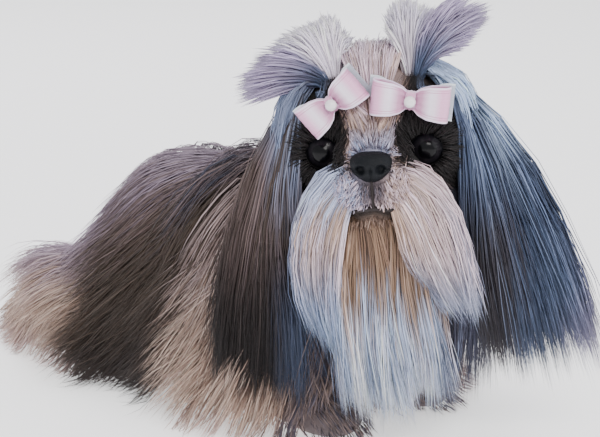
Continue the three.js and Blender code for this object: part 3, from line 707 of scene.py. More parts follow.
def makeFlank(name, side, count, seed, settings):
    draw = np.random.default_rng(seed)
    y = draw.uniform(-72, 150, count)
    angle = 113 * draw.random(count) ** 0.95
    roots = onSkin(torsoForms, *settings["line"], y, angle, side)
    drift = waves(roots, 26, seed + 5)
    backward = np.interp(y, [-70, 60, 150], [0.6, 0.9, 0.6]) + draw.normal(0, 0.1, count) + drift * 0.2
    outwards = (0.72 + draw.normal(0, 0.1, count)) * (0.2 + 0.8 * smoothStep(0, 34, angle))
    length = draw.uniform(*settings["length"], count) - np.maximum(y - 10, 0) * 0.12
    low, high = settings["lift"]
    lift = (high - low) * draw.random(count) * smoothStep(106, 60, angle) * (0.1 + 0.9 * smoothStep(20, 72, angle))
    over = torsoForms + swollen(legForms, 5)
    lie = stacked(side * outwards, backward, -1.0)
    paths, outward = layAlong(roots, over, lie, length, low + lift, settings["points"], turning=(side * 0.1, 0, 0))
    keys = pairs(y / 6, angle / 4)
    paths, _ = clumped(paths, keys, settings["clumps"], settings["clumping"], seed + 1)
    ridge = (0.35 + 0.65 * smoothStep(6, 50, angle))[:, None, None]
    paths = paths + (wandering(paths, settings["unrest"], seed + 2) - paths) * ridge
    colours = bodyColour(paths[:, -3] * 0.5 + paths[:, -2] * 0.5, draw.random(count))
    colours = tuftColours(colours, settings["points"], seed + 3, 0.78, variety=0.13)
    makeCoat(name, (paths, outward, colours, keys, draw.uniform(*settings["width"], count)), "coat_grey", seed)


for sideName, (side, count, seed) in flankSettings["sides"].items():
    makeFlank("flankCoat" + sideName, side, count, seed, flankSettings)
print("Flank coat made")

ruffSettings = {
    "count": 3000, "length": (122, 74), "lift": 9.0, "width": (0.7, 1.6), "clumps": 200, "clumping": 0.5, "unrest": 1.5,
    "points": 6, "line": ((3, -70, 106.0), (12, -98, 138.0)),
}


def makeRuff(settings):
    draw, count = np.random.default_rng(31), settings["count"]
    start, end = np.array(settings["line"])
    high = draw.random(count)
    turn = np.radians(draw.uniform(-165, 165, count))
    ways = unit(stacked(np.sin(turn), -np.cos(turn), -0.1))
    roots = surfaceAlong(start + (end - start) * high[:, None], ways, neckForms)
    wander = draw.normal(0, 0.08, (count, 2))
    lie = stacked(ways[:, 0] * 0.45 + wander[:, 0], ways[:, 1] * 0.3 + 0.15 + wander[:, 1], -1.0)
    length = between(*settings["length"], high) * draw.uniform(0.85, 1.05, count)
    lift = 0.5 + settings["lift"] * draw.random(count) * (0.4 + 0.6 * high)
    laid = layAlong(roots, neckForms + swollen(torsoForms, 4), lie, length, lift, settings["points"])
    keys = pairs(turn * 12, high * 12)
    tufts = bodyTufts(draw, laid, keys, settings, (32, 33, 34), 4, rootShade=0.65, variety=0.15)
    makeCoat("ruffCoat", tufts, "coat_cream", 35)


makeRuff(ruffSettings)

chestSettings = {
    "count": 1100, "length": (56, 90), "lift": 7.0, "width": (0.9, 1.8), "clumps": 70, "clumping": 0.5, "unrest": 1.4,
    "points": 6, "from": (0, -50, 60), "towards": -1, "lie": (0.7, -0.3, -1),
}
rumpSettings = {
    "count": 1900, "length": (34, 58), "lift": 6.0, "width": (0.8, 1.7), "clumps": 70, "clumping": 0.5, "unrest": 1.4,
    "points": 6, "from": (0, 126, 32), "towards": 1, "lie": (0.7, 0.7, -1),
}


def makeTorsoEnd(name, settings, over, slot, seed):
    draw, count = np.random.default_rng(seed), settings["count"]
    across, rise = draw.uniform(-1.8, 1.8, count), draw.uniform(-0.5, 0.9, count)
    origins = np.tile(np.array(settings["from"], float), (count, 1))
    roots = surfaceAlong(origins, unit(stacked(across, settings["towards"], rise)), torsoForms)
    lie = np.array(settings["lie"], float) * stacked(across, 1, 1) + draw.normal(0, 0.08, (count, 3))
    length = draw.uniform(*settings["length"], count)
    lift = 0.5 + settings["lift"] * draw.random(count)
    laid = layAlong(roots, torsoForms + over, lie, length, lift, settings["points"])
    keys = pairs(across * 10, rise * 10)
    makeCoat(name, bodyTufts(draw, laid, keys, settings, (seed + 1, seed + 2, seed + 3)), slot, seed)


makeTorsoEnd("chestCoat", chestSettings, swollen(legForms, 3), "coat_cream", 41)
makeTorsoEnd("rumpCoat", rumpSettings, swollen(legForms, 4) + tailForms, "coat_grey", 45)

legSettings = {
    "fore": {
        "count": 650, "length": (52, 30), "line": ((44, -50, 22), (38, -108, 13)), "reach": (-36, -126), "seed": 50,
        "lie": (1.1, (-0.2, -0.8), -0.7),
    },
    "hind": {
        "count": 450, "length": (42, 24), "line": ((50, 110, 24), (60, 45, 10)), "reach": (128, 40), "seed": 55,
        "lie": (0.6, (0.3, 0.3), -1.0),
    },
    "haunch": {
        "count": 340, "length": (46, 24), "line": ((48, 116, 24), (60, 45, 10)), "reach": (128, 40), "seed": 59,
        "lie": (0.6, (0.7, 0.7), -1.0),
    },
    "lift": 3.0, "width": (0.8, 1.6), "clumps": 40, "clumping": 0.45, "unrest": 1.2, "points": 6,
}


def legTufts(part, side, settings):
    one = settings[part]
    seed = one["seed"] + side
    draw = np.random.default_rng(seed)
    count = one["count"]
    forms = forelegForms(side) if part == "fore" else hindlegForms(side)
    share = draw.random(count)
    y = one["reach"][0] + (one["reach"][1] - one["reach"][0]) * share
    angle = draw.uniform(-35, 100, count)
    start, end = [np.array(point) * [side, 1, 1] for point in one["line"]]
    if part == "haunch":
        ways = unit(draw.normal(size=(count, 3)) * [0.9, 0.5, 0.7] + [side * 0.5, 1.0, 0.1])
        roots = surfaceAlong(start + np.zeros((count, 3)), ways, forms)
        keep = roots[:, 2] > 3
        count, roots, ways, share = keep.sum(), roots[keep], ways[keep], share[keep]
        y, angle = 128 + 40 * ways[:, 2], 60 * ways[:, 0]
    else:
        roots = onSkin(forms, start, end, y, angle, side)
    out, back, down = one["lie"]
    lie = stacked(side * out, np.interp(share, [0, 1], back), down)
    length = np.interp(share, [0, 1], one["length"]) * draw.uniform(0.8, 1.1, count)
    lift = 0.4 + settings["lift"] * draw.random(count)
    laid = layAlong(roots, forms, lie, length, lift, settings["points"], sink=2.0)
    keys = pairs(y / 5, angle / 5)
    tufts = bodyTufts(draw, laid, keys, settings, (seed + 20, seed + 30, seed + 40))
    return (*tufts[:3], keys + [0, 60 if side > 0 else 0], tufts[4])


legGroups = [legTufts(part, side, legSettings) for part in ("fore", "hind", "haunch") for side in (-1, 1)]
makeCoat("legCoat", joinedTufts(legGroups), "coat_cream", 59)

pawSettings = {"count": 550, "length": (7, 14), "width": (0.5, 1.0), "unrest": 0.5, "points": 5}


def pawTufts(side, settings):
    draw, count = np.random.default_rng(64 + side), settings["count"]
    ways = unit(draw.normal(size=(count, 3)) * [1, 1.2, 1] + [0, -0.9, 0.5])
    origins = stacked(side * 36.0, draw.uniform(-126, -100, count), 11.0)
    forms = forelegForms(side)
    roots = surfaceAlong(origins, ways, forms)
    roots = roots[roots[:, 2] > 1.5]
    lie = np.array([side * 0.25, -1.0, -0.5]) + 0 * roots
    length = draw.uniform(*settings["length"], len(roots))
    lift = 0.3 + draw.uniform(0, 1.2, len(roots))
    laid = layAlong(roots, forms, lie, length, lift, settings["points"], sink=1.0, floor=0.5)
    return bodyTufts(draw, laid, toHead(roots)[:, [0, 2]], settings, (0, 66 + side, 68 + side), 2, variety=0.12)


makeCoat("pawCoat", joinedTufts([pawTufts(side, pawSettings) for side in (-1, 1)]), "coat_cream", 67)

tailSettings = {
    "count": 1100, "length": (24, 50), "lift": 3.5, "width": (0.8, 1.6), "clumps": 36, "clumping": 0.55, "unrest": 1.5,
    "points": 6, "line": ((5, 158, 28.0), (24, 181, 16.0)), "lie": (0.62, 0.55, -0.45),
}


def makeTail(settings):
    draw, count = np.random.default_rng(71), settings["count"]
    share, turn = draw.random(count), draw.uniform(0, 2 * np.pi, count)
    start, end = np.array(settings["line"])
    along = unit(end - start)
    sideways = unit(np.cross([0, 0, 1.0], along))
    upwards = np.cross(along, sideways)
    ways = sideways * np.sin(turn)[:, None] + upwards * np.cos(turn)[:, None] + along * (share[:, None] * 1.4 - 0.5)
    ways = unit(ways)
    roots = surfaceAlong(start + (end - start) * share[:, None], ways, tailForms)
    length = draw.uniform(*settings["length"], count)
    lift = 0.4 + settings["lift"] * draw.random(count)
    lie = ways * 0.35 + np.array(settings["lie"])
    laid = layAlong(roots, tailForms, lie, length, lift, settings["points"], sink=1.5)
    pale = lambda places, shade: between("white", "cream", shade)
    tufts = bodyTufts(draw, laid, pairs(share * 10, turn * 3), settings, (72, 73, 74), colour=pale)
    makeCoat("tailPlume", tufts, "coat_white", 75, ("tail",))


makeTail(tailSettings)
print("Ruff, chest, rump, leg and tail coat made")


# Long hair of the head, along curves through four places in the head's frame
def curvesThrough(places, points):
    share = np.linspace(0, 1, points)[None, :, None]
    first, second, third, last = [place[:, None] for place in places]
    rest = 1 - share
    return first * rest ** 3 + 3 * second * share * rest ** 2 + 3 * third * share ** 2 * rest + last * share ** 3


# Neighbouring tufts bend to and fro together
def swayed(paths, keys, amount, seed):
    ground = np.concatenate([keys, np.zeros((len(keys), 1))], axis=1)
    phase = waves(ground, 8, seed)[:, None] * 3.5
    share = np.linspace(0, 1, paths.shape[1])[None]
    bend = (np.sin(share * 7.5 + phase) - np.sin(phase)) * share ** 0.7 * amount
    return paths + bend[..., None] * stacked(np.cos(phase * 0.7), np.sin(phase * 0.9) * 0.6, 0)


# Each path cut short at its own share of its length
def shortened(paths, factor):
    points = paths.shape[1]
    at = np.linspace(0, 1, points)[None] * factor[:, None] * (points - 1)
    low = np.minimum(at.astype(int), points - 2)
    rest = (at - low)[..., None]
    rows = np.arange(len(paths))[:, None]
    return paths[rows, low] * (1 - rest) + paths[rows, low + 1] * rest


# What holds for head hair where its own settings say nothing else
hangingSettings = {
    "clumps": 80, "points": 7, "sway": 2.4, "unrest": 1.2, "ragged": 0.0, "patchy": 0.45, "rootShade": 0.6,
    "taper": 1.7, "centre": (0, 36), "facing": None, "contrast": 0.6, "lowest": 1.0,
}


# Head hair: places are four control points for each tuft; colour gives its colours from their places and tints
def hangingCoat(name, places, keys, colour, settings, seed, slot, nodes=(), **others):
    settings = {**hangingSettings, **settings, **others}
    draw = np.random.default_rng(seed)
    clumps, points = settings["clumps"], settings["points"]
    local = swayed(curvesThrough(places, points), keys, settings["sway"], seed + 5)
    local, nearest = clumped(local, keys, clumps, settings["clumping"], seed + 1)
    local = wandering(local, settings["unrest"], seed + 2)
    cut = draw.random(clumps)[nearest] * 0.7 + draw.random(len(local)) * 0.3
    local = shortened(local, 1 - settings["ragged"] * cut)
    tint = draw.random(clumps)[nearest] * 0.6 + draw.random(len(local)) * 0.4
    if settings["facing"] is None:
        outward = unit((local - np.array([*settings["centre"], 0])) * [1, 1, 0] + [0, -8, 2])
    else:
        outward = np.broadcast_to(unit(np.array(settings["facing"], float)), local.shape)
    paths = toWorld(local)
    paths[..., 2] = np.maximum(paths[..., 2], settings["lowest"])
    colours = colour(local, tint[:, None])
    lightness = np.exp((draw.random(clumps)[nearest] - 0.5) * settings["patchy"])
    colours = tuftColours(colours * lightness[:, None, None], points, seed + 3, settings["rootShade"], 0.1, 0.14)
    tufts = paths, toWorldWay(outward), colours, keys, draw.uniform(*settings["width"], len(paths))
    makeCoat(name, tufts, slot, seed, nodes, settings["taper"], settings["contrast"])


def eitherSide(draw, count):
    return np.where(draw.random(count) < 0.5, -1, 1)


earSettings = {
    "left": {
        "side": 1, "out": (54, 121), "high": 0.9, "low": (-141, -110), "forward": 0, "slot": "coat_slate", "seed": 81,
    },
    "right": {
        "side": -1, "out": (46, 97), "high": 0.93, "low": (-151, -108), "forward": 20, "slot": "coat_dark", "seed": 85,
    },
    "count": 3800, "width": (0.55, 1.45), "clumps": 130, "clumping": 0.6, "sway": 5.0, "unrest": 1.7, "patchy": 0.6,
    "ragged": 0.14,
}


def leftEarColour(local, tint):
    x, z = np.abs(local[..., 0]), local[..., 2]
    wander = waves(local, 40, 15) * 5 + (tint - 0.5) * 24
    band = smoothStep(52, 60, x + wander * 0.3) * smoothStep(82, 70, x + wander * 0.3) * smoothStep(-20, 8, z)
    rim = smoothStep(98, 114, x + wander * 0.6) * 0.2 + smoothStep(-96, -122, z) * smoothStep(96, 116, x + wander) * 0.5
    return layered(
        between("slateDark", "slate", smoothStep(0.15, 0.7, tint)),
        ("slateLight", smoothStep(0.6, 0.95, tint) * 0.5),
        ("darkBrown", "olive", tint, smoothStep(80, 68, x + wander) * smoothStep(-24, -52, z) * 0.8),
        ("blueWhite", band * 0.85),
        ("lavender", np.clip(rim, 0, 1)),
    )


def rightEarColour(local, tint):
    x, z = np.abs(local[..., 0]), local[..., 2]
    wander = waves(local, 40, 13) * 5 + (tint - 0.5) * 24
    inner = smoothStep(66, 54, x + wander * 0.5) * smoothStep(-44, -4, z + wander) * smoothStep(0.15, 0.6, tint)
    return layered(
        between("taupe", "mauve", smoothStep(0.7, 0.98, tint) * 0.6),
        ("olive", smoothStep(0.7, 0.2, tint) * 0.8),
        ("darkBrown", smoothStep(-26, -78, z + wander * 1.3)),
        ("black", smoothStep(-66, -102, z + wander) * smoothStep(0.85, 0.3, tint) * 0.8),
        ("slateLight", inner * 0.7),
        ("slateDark", "slate", tint, smoothStep(62, 52, x + wander * 0.4) * smoothStep(-50, -100, z) * 0.8),
    )


def makeEar(name, one, colour, settings):
    draw = np.random.default_rng(one["seed"])
    count, side, forward = settings["count"], one["side"], one["forward"]
    u, v = draw.random(count) ** 0.9, draw.random(count)
    x, y, z = 38 + 16 * v, 8 + 32 * u, 31 - 52 * v
    out = one["out"][0] + (one["out"][1] - one["out"][0]) * u + draw.normal(0, 1.5, count)
    ends = draw.random(count) ** 2.4
    stray = (draw.random(count) < 0.1) * draw.uniform(2, 15, count) * u
    low = one["low"][0] + (one["low"][1] - one["low"][0]) * ends
    front = 6 * draw.uniform(-1, 1, count)
    places = [
        stacked(side * x, y, z),
        stacked(side * (x + 6 + 13 * u * (1 - v * 0.4)), y - 3 - front * 0.5, z + 3 - 10 * v),
        stacked(side * (out * one["high"]), 8 * u - 2 - front - forward * 0.5, -42 - 8 * v),
        stacked(side * (out + stray), -4 - front - forward * (1 - 0.2 * u), low),
    ]
    keys = pairs(u * 14, v * 5)
    hangingCoat(name, places, keys, colour, settings, one["seed"], one["slot"], centre=(side * 40, 40))


makeEar("earCoatLeft", earSettings["left"], leftEarColour, earSettings)
makeEar("earCoatRight", earSettings["right"], rightEarColour, earSettings)
print("Ears made")

crownSettings = {
    "count": 2000, "width": (0.6, 1.5), "clumps": 110, "clumping": 0.5, "sway": 2.2, "patchy": 0.3, "ragged": 0.34,
}


def crownColour(local, tint):
    x, y, z = local[..., 0], local[..., 1], local[..., 2]
    wander = (tint - 0.5) * 14
    return layered(
        between("taupe", "slateLight", tint),
        ("cream", smoothStep(26, 10, np.abs(x)) * smoothStep(60, 30, y)),
        ("blueWhite", smoothStep(22, 36, x + wander) * smoothStep(60, 36, y) * smoothStep(-30, 4, z) * 0.9),
        ("slateLight", smoothStep(-36, -48, x + wander) * smoothStep(56, 32, y) * 0.6),
        ("taupe", smoothStep(60, 80, y) * 0.6),
    )


def makeCrown(settings):
    draw, count = np.random.default_rng(91), settings["count"]
    side = eitherSide(draw, count)
    turn = np.radians(-32 + 122 * draw.random(count) ** 1.2)
    start = draw.random(count)
    aside, back = side * np.cos(turn), np.sin(turn)
    reach, rise = 10 + 26 * start, 50 - 10 * start ** 2
    places = [
        stacked(aside * reach, 30 + back * reach, rise - 4),
        stacked(aside * (reach + 20), 32 + back * (reach + 18), rise + 3),
        stacked(aside * 62, 36 + back * 48, 20 - 10 * start),
        stacked(aside * 64, 36 + back * (50 + 10 * start), -26 - 40 * start - 18 * back),
    ]
    keys = pairs(side * 40 + np.degrees(turn) / 6, start * 6)
    hangingCoat("crownCoat", places, keys, crownColour, settings, 92, "coat_slate")


makeCrown(crownSettings)

# Hair between the topknots, which rises from the blaze and lies back over the crown
partingSettings = {
    "count": 900, "width": (0.5, 1.1), "clumps": 40, "clumping": 0.4, "sway": 1.6, "rootShade": 0.85, "patchy": 0.25,
    "ragged": 0.2, "facing": (0, -0.5, 1),
}


def partingColour(local, tint):
    made = between("beige", "pinkWhite", smoothStep(0.1, 0.7, tint))
    return between(made, "white", smoothStep(6, 34, local[..., 1]) * 0.5)


def makeParting(settings):
    draw, count = np.random.default_rng(95), settings["count"]
    u, start = draw.uniform(-1, 1, count), draw.random(count)
    rise = 57 - 3 * np.abs(u) + draw.normal(0, 0.8, count)
    places = [
        stacked(u * (9 + 4 * start), -2 + 18 * start, 28 + 18 * start),
        stacked(u * 14, -4 + 18 * start, 50 + 6 * start),
        stacked(u * 17, 14 + 16 * start, rise + 3),
        stacked(u * 20, 38 + 14 * start, 52 - 5 * start),
    ]
    hangingCoat("partingHair", places, pairs(u * 6, start * 5), partingColour, settings, 96, "coat_cream")


makeParting(partingSettings)

# Tips are out and up, from the inner side of a topknot to its outer side
topknotSettings = {
    "Left": {"side": 1, "pale": 0.47, "seed": 101, "tips": (
        (7, 60), (8, 72), (14, 78), (21, 79), (28, 75), (34, 71), (48, 79), (62, 73), (64, 66), (56, 56), (45, 50),
    )},
    "Right": {"side": -1, "pale": 0.62, "seed": 105, "tips": (
        (10, 56), (17, 64), (21, 71), (27, 71), (34, 66), (42, 66), (52, 60), (64, 51), (73, 42), (76, 36), (78, 24),
    )},
    "base": (21, 16, 34), "count": 1800, "width": (0.7, 1.8), "clumps": 70, "clumping": 0.3, "unrest": 0.8, "sway": 0.8,
    "taper": 3.2, "rootShade": 0.7,
}


def makeTopknot(sideName, settings):
    one = settings[sideName]
    draw = np.random.default_rng(one["seed"])
    count, side = settings["count"], one["side"]
    u = draw.random(count)
    tips = np.array(one["tips"], float)
    at = np.linspace(0, 1, len(tips))
    baseOut, baseBack, baseUp = settings["base"]
    reach = 1.03 - 0.3 * draw.random(count) ** 2.2
    tipOut = baseOut + (np.interp(u, at, tips[:, 0]) - baseOut) * reach
    tipUp = baseUp + (np.interp(u, at, tips[:, 1]) - baseUp) * reach
    turn = draw.uniform(0, 6.283, count)
    tie = 4.5 * np.sqrt(draw.random(count))
    ringOut, ringBack = baseOut + np.cos(turn) * tie + (u - 0.5) * 4, baseBack + np.sin(turn) * tie
    deep = np.sin(turn) * 7 + draw.normal(0, 1.5, count)
    bellyUp = (baseUp + 6) * 0.25 + tipUp * 0.75 + 4
    places = [
        stacked(side * (ringOut * 0.5 + baseOut * 0.5), ringBack, baseUp - 9),
        stacked(side * ringOut, ringBack, baseUp + 10),
        stacked(side * (ringOut * 0.45 + tipOut * 0.55), ringBack + 2 + deep * 0.6, bellyUp),
        stacked(side * tipOut, baseBack + 5 + deep, tipUp),
    ]

    def colour(local, tint):
        share = np.linspace(0, 1, local.shape[1])[None]
        inner = smoothStep(one["pale"] + 0.06, one["pale"] - 0.06, u[:, None] + (tint - 0.5) * 0.1)
        pale = between(between("cream", "pinkWhite", tint), "white", 0.6)
        grey = between("slateDark", "slate", smoothStep(0.2, 0.8, tint))
        return layered(
            between(grey, pale, inner),
            ("lavender", smoothStep(0.35, 0.9, share) * (1 - inner) * 0.85),
            ("white", smoothStep(0.5, 1, share) * inner * 0.5),
        )

    hangingCoat(
        "topknotHair" + sideName, places, pairs(u * 14, np.sin(turn) * 3), colour, settings, one["seed"],
        "coat_white", ("topknot_" + sideName.lower(),), facing=(side * 0.1, -1, 0.2),
    )


for sideName in ("Left", "Right"):
    makeTopknot(sideName, topknotSettings)
print("Crown and topknots made")

# The outer and inner strand of each side, as out and up at the root, two bends and the tip
moustacheSettings = {
    "outer": {1: ((9, -5), (42, -2), (52, -48), (52, -96)), -1: ((9, -5), (44, -4), (54, -62), (27, -116))},
    "inner": {1: ((6, -17), (8, -36), (17, -58), (44, -98)), -1: ((6, -17), (22, -30), (28, -66), (17, -126))},
    "count": 1850, "width": (0.5, 1.25), "clumps": 90, "clumping": 0.5, "unrest": 1.5, "sway": 3.8, "rootShade": 0.92,
    "patchy": 0.35, "ragged": 0.34, "facing": (0, -1, 0.1),
}


def moustacheSide(side, settings):
    draw, count = np.random.default_rng(112 + side), settings["count"]
    u, depth = draw.random(count), draw.random(count)
    ends = 0.82 + 0.26 * draw.random(count)
    stray = draw.normal(0, 1, (3, count))
    strands = zip(settings["outer"][side], settings["inner"][side])
    lines = [np.array(outer) + (np.array(inner) - outer) * (u ** 0.9)[:, None] for outer, inner in strands]
    (rootOut, rootUp), (bendOut, bendUp), (bellyOut, bellyUp), (tipOut, tipUp) = [line.T for line in lines]
    tipOut, tipUp = bellyOut + (tipOut - bellyOut) * ends, bellyUp + (tipUp - bellyUp) * ends
    places = [
        stacked(side * (rootOut + 13 * depth), -24 + 11 * depth, rootUp - 1.5 * depth + stray[2] * 1.8),
        stacked(side * (bendOut + 4 * depth), -34 + 10 * depth, bendUp + stray[2] * 1.2),
        stacked(side * (bellyOut + stray[0] * (4 - 2 * u)), -32 + 9 * depth, bellyUp),
        stacked(side * (tipOut + stray[1] * (5 - 2 * u)), -27 + 8 * depth, tipUp),
    ]
    return (*places, pairs(u * 13 + 22 * (side > 0), depth * 4))


def makeMoustache(settings):
    *places, keys = joinedTufts([moustacheSide(side, settings) for side in (-1, 1)])
    rim = smoothStep(0.22, 0.02, keys[:, :1] % 22 / 13)

    def colour(local, tint):
        x, z = local[..., 0], local[..., 2] + (tint - 0.5) * 30
        tan = np.where(x < 0, 1, smoothStep(34, 14, x))
        ends = np.where(x < 0, smoothStep(-48, -86, z), smoothStep(-50, -88, z) * 0.85)
        return layered(
            between("cream", "pinkWhite", tint),
            ("beige", smoothStep(0.65, 0.25, tint) * tan * 0.95),
            ("slateLight", "blueWhite", tint, smoothStep(-36, -16, z) * (x < 0) * 0.8),
            ("slateLight", "blueWhite", smoothStep(0.3, 0.8, tint), ends),
            ("slate", "slateLight", tint, rim * smoothStep(0.9, 0.4, tint) * smoothStep(-12, -40, z) * 0.85),
            ("slate", smoothStep(0.35, 0.15, tint) * smoothStep(-50, -90, z) * 0.8),
        )

    hangingCoat("moustache", places, keys, colour, settings, 115, "coat_white")


makeMoustache(moustacheSettings)

beardSettings = {
    "count": 2700, "width": (0.5, 1.35), "clumps": 70, "clumping": 0.68, "points": 8, "unrest": 1.6, "sway": 5.0,
    "rootShade": 0.7, "patchy": 0.4, "ragged": 0.18, "centre": (0, 10),
}


def beardColour(local, tint):
    x, z = local[..., 0], local[..., 2]
    wander = (tint - 0.5) * 46
    edge = smoothStep(22, 32, np.abs(x - 4) + wander * 0.15) * smoothStep(-50, -90, z) * smoothStep(0.75, 0.4, tint)
    return layered(
        between("tan", "gold", tint),
        ("beige", smoothStep(0.6, 0.9, tint) * 0.7),
        ("blueWhite", "white", tint, smoothStep(-70, -98, z + wander)),
        ("slate", smoothStep(-84, -108, z) * smoothStep(0.34, 0.18, tint) * 0.9),
        ("slateDark", "slate", tint, edge * 0.95),
    )


def makeBeard(settings):
    draw, count = np.random.default_rng(121), settings["count"]
    u, depth = draw.uniform(-1, 1, count), draw.random(count)
    wide, curve = 25 + 8 * depth, 1 - u * u
    low = -158 + np.abs(u) * 8 + 10 * draw.random(count)
    places = [
        stacked(u * 17, -15 + 10 * depth - 8 * curve, -29 - 2 * depth),
        stacked(u * 23 + 2, -28 + 10 * depth - 2 * curve, -40),
        stacked(u * (wide + 2) + 5, -28 + 10 * depth, -90),
        stacked(u * wide + 6, -37 + 14 * depth, low),
    ]
    hangingCoat("beard", places, pairs(u * 9, depth * 4), beardColour, settings, 122, "coat_white")


makeBeard(beardSettings)

cheekSettings = {"count": 1600, "width": (0.6, 1.5), "clumping": 0.55, "unrest": 1.4, "sway": 2.6, "centre": (0, 20)}


def cheekColour(local, tint):
    z = local[..., 2]
    return layered(
        between("slateDark", between("slate", "taupe", 0.5), tint),
        ("slateLight", smoothStep(0.7, 0.9, tint) * smoothStep(-30, -70, z) * 0.8),
        ("olive", smoothStep(0.4, 0.15, tint) * smoothStep(-50, -90, z) * 0.7),
        ("black", smoothStep(-56, -20, z) * 0.75),
    )


def makeCheeks(settings):
    draw, count = np.random.default_rng(131), settings["count"]
    side = eitherSide(draw, count)
    u, depth = draw.random(count), draw.random(count)
    ends = draw.random(count) ** 1.6
    places = [
        stacked(side * (25 + 13 * u), 4 + 12 * u, -10 - 8 * depth),
        stacked(side * (42 + 15 * u), -3 + 16 * u + 4 * depth, -20),
        stacked(side * (47 + 15 * u), -10 + 20 * u + 4 * depth, -70),
        stacked(side * (30 + 26 * u), -14 + 22 * u + 4 * depth, -146 + 30 * ends),
    ]
    keys = pairs(side * 20 + u * 10, depth * 3)
    hangingCoat("cheekCoat", places, keys, cheekColour, settings, 132, "coat_slate")


makeCheeks(cheekSettings)
print("Moustache, beard and cheeks made")

eyeSettings = {
    "apart": 55.0, "back": 4.0, "radius": 11.0, "bulge": 0.7, "gaze": (0.12, -1.0, 0.02), "rings": 48, "sides": 64,
    "opening": (58.0, 54.0, 52.0), "lidRows": ((11.6, 0, 1.0), (10.8, 8, 1.2)), "lidThickness": 1.0, "hairRadius": 12.3,
}


def eyeCentre(side):
    return np.array([side * eyeSettings["apart"] / 2, eyeSettings["back"], 0.0])


def eyeWays(side):
    gaze = unit(np.array(eyeSettings["gaze"]) * [side, 1, 1])
    across = unit(np.cross([0, 0, 1.0], gaze))
    return gaze, across, np.cross(gaze, across)


# Short fur of the face, lying away from the nose and the eyes
faceFurSettings = {
    "count": 3900, "aroundEyes": 1500, "front": 1100, "length": (6.0, 11.0), "width": (0.4, 0.9), "lift": 2.4,
    "unrest": 0.4, "points": 5,
}


def makeFaceFur(settings):
    draw = np.random.default_rng(141)
    over = faceForms + [headForm(eyeCentre(side), [eyeSettings["hairRadius"]] * 3) for side in (-1, 1)]
    ways = unit(draw.normal(size=(settings["count"] * 3, 3)) * [1.1, 1, 1] + [0, -0.9, -0.1])
    ways = ways[(ways[:, 1] < 0.1) & (np.abs(ways[:, 2]) < 0.75)][:settings["count"]]
    starts = [stacked(ways[:, 0] * 16, 8, -4 + ways[:, 2] * 14)]
    near, front = settings["aroundEyes"], settings["front"]
    turn, reach = draw.uniform(0, 2 * np.pi, near), 8.5 + 10 * draw.random(near) ** 1.3
    beside = eyeCentre(1)[0] + reach * np.cos(turn)
    starts.append(stacked(eitherSide(draw, near) * beside, 15, reach * np.sin(turn)))
    starts.append(stacked(draw.uniform(-25, 25, front), 10, draw.uniform(-24, 14, front)))
    ways = np.concatenate([ways, np.broadcast_to([0, -1.0, 0], (near + front, 3))])
    roots = surfaceAlong(toWorld(np.concatenate(starts)), toWorldWay(ways), over)
    local = toHead(roots)
    x, y, z = np.abs(local[:, 0]), local[:, 1], local[:, 2]
    flow = unit((local - [0, -26, 0]) * [1.4, 0.6, 1]) + [0, 0.1, 0]
    flow[:, 2] += np.where(z > 4, 0.8, -0.35)
    flow[:, 1] += smoothStep(28, 40, x) * 1.2
    keep = x < 40
    for side in (-1, 1):
        offEye = (local - eyeCentre(side)) * [1, 0, 1]
        distance = np.linalg.norm(offEye, axis=1)
        near = smoothStep(24, 12, distance)[:, None]
        flow = flow * (1 - near) + (unit(offEye) + [side * 0.2, 0.5, -0.3]) * near
        keep &= (distance > 9.9 - 0.4 * np.abs(offEye[:, 2]) / distance) | (y > 14) | ((y < -11.5) & (x < 22.5))
    keep &= (np.linalg.norm((local - [0, -29, -3]) / [10.5, 99, 9], axis=1) > 1) | (y > -12)
    keep &= (np.abs(offLipLine(local, 26, 0.34)) > 3.2) | (x > 15) | (y > -8)
    keep &= (x > 1.3) | (z > -8) | (z < -27)
    roots, local, flow = roots[keep], local[keep], unit(flow[keep])
    count = len(roots)
    onSnout = smoothStep(-8, -18, local[:, 1])
    atLip = np.exp(-(offLipLine(local, 22, 0.34) / 5) ** 2)
    length = draw.uniform(*settings["length"], count) * (1 - 0.45 * onSnout) * (1 - 0.5 * atLip)
    lift = 0.3 + settings["lift"] * draw.random(count) * (1 - 0.4 * onSnout)
    way = toWorldWay(unit(flow + draw.normal(0, 0.14, (count, 3))))
    laid = layAlong(roots, over, way, length, lift, settings["points"], sink=1.2)
    tufts = bodyTufts(
        draw, laid, local[:, [0, 2]], settings, (0, 142, 143), colour=lambda places, shade: headColour(local, shade),
        rootShade=0.75, tipLift=0.1, variety=0.14,
    )
    makeCoat("faceFur", tufts, "coat_dark", 144)


makeFaceFur(faceFurSettings)

# Longer hair of the brows and the blaze, combed up into the topknots
browSettings = {
    "count": 1800, "width": (0.5, 1.1), "clumping": 0.4, "points": 6, "unrest": 0.7, "sway": 0.8, "rootShade": 0.8,
    "patchy": 0.3, "facing": (0, -1, 0.35),
}


def browColour(local, tint):
    out = np.abs(local[:, :1, 0]) + (tint - 0.5) * 7
    return layered(
        between("beige", "pinkWhite", smoothStep(0.3, 0.95, tint) * 0.8),
        ("olive", "taupe", tint, smoothStep(8, 12, out)),
        ("black", "darkBrown", tint, smoothStep(13, 18, out)),
        ("slate", "slateLight", tint, smoothStep(27, 32, out) * 0.7),
    )


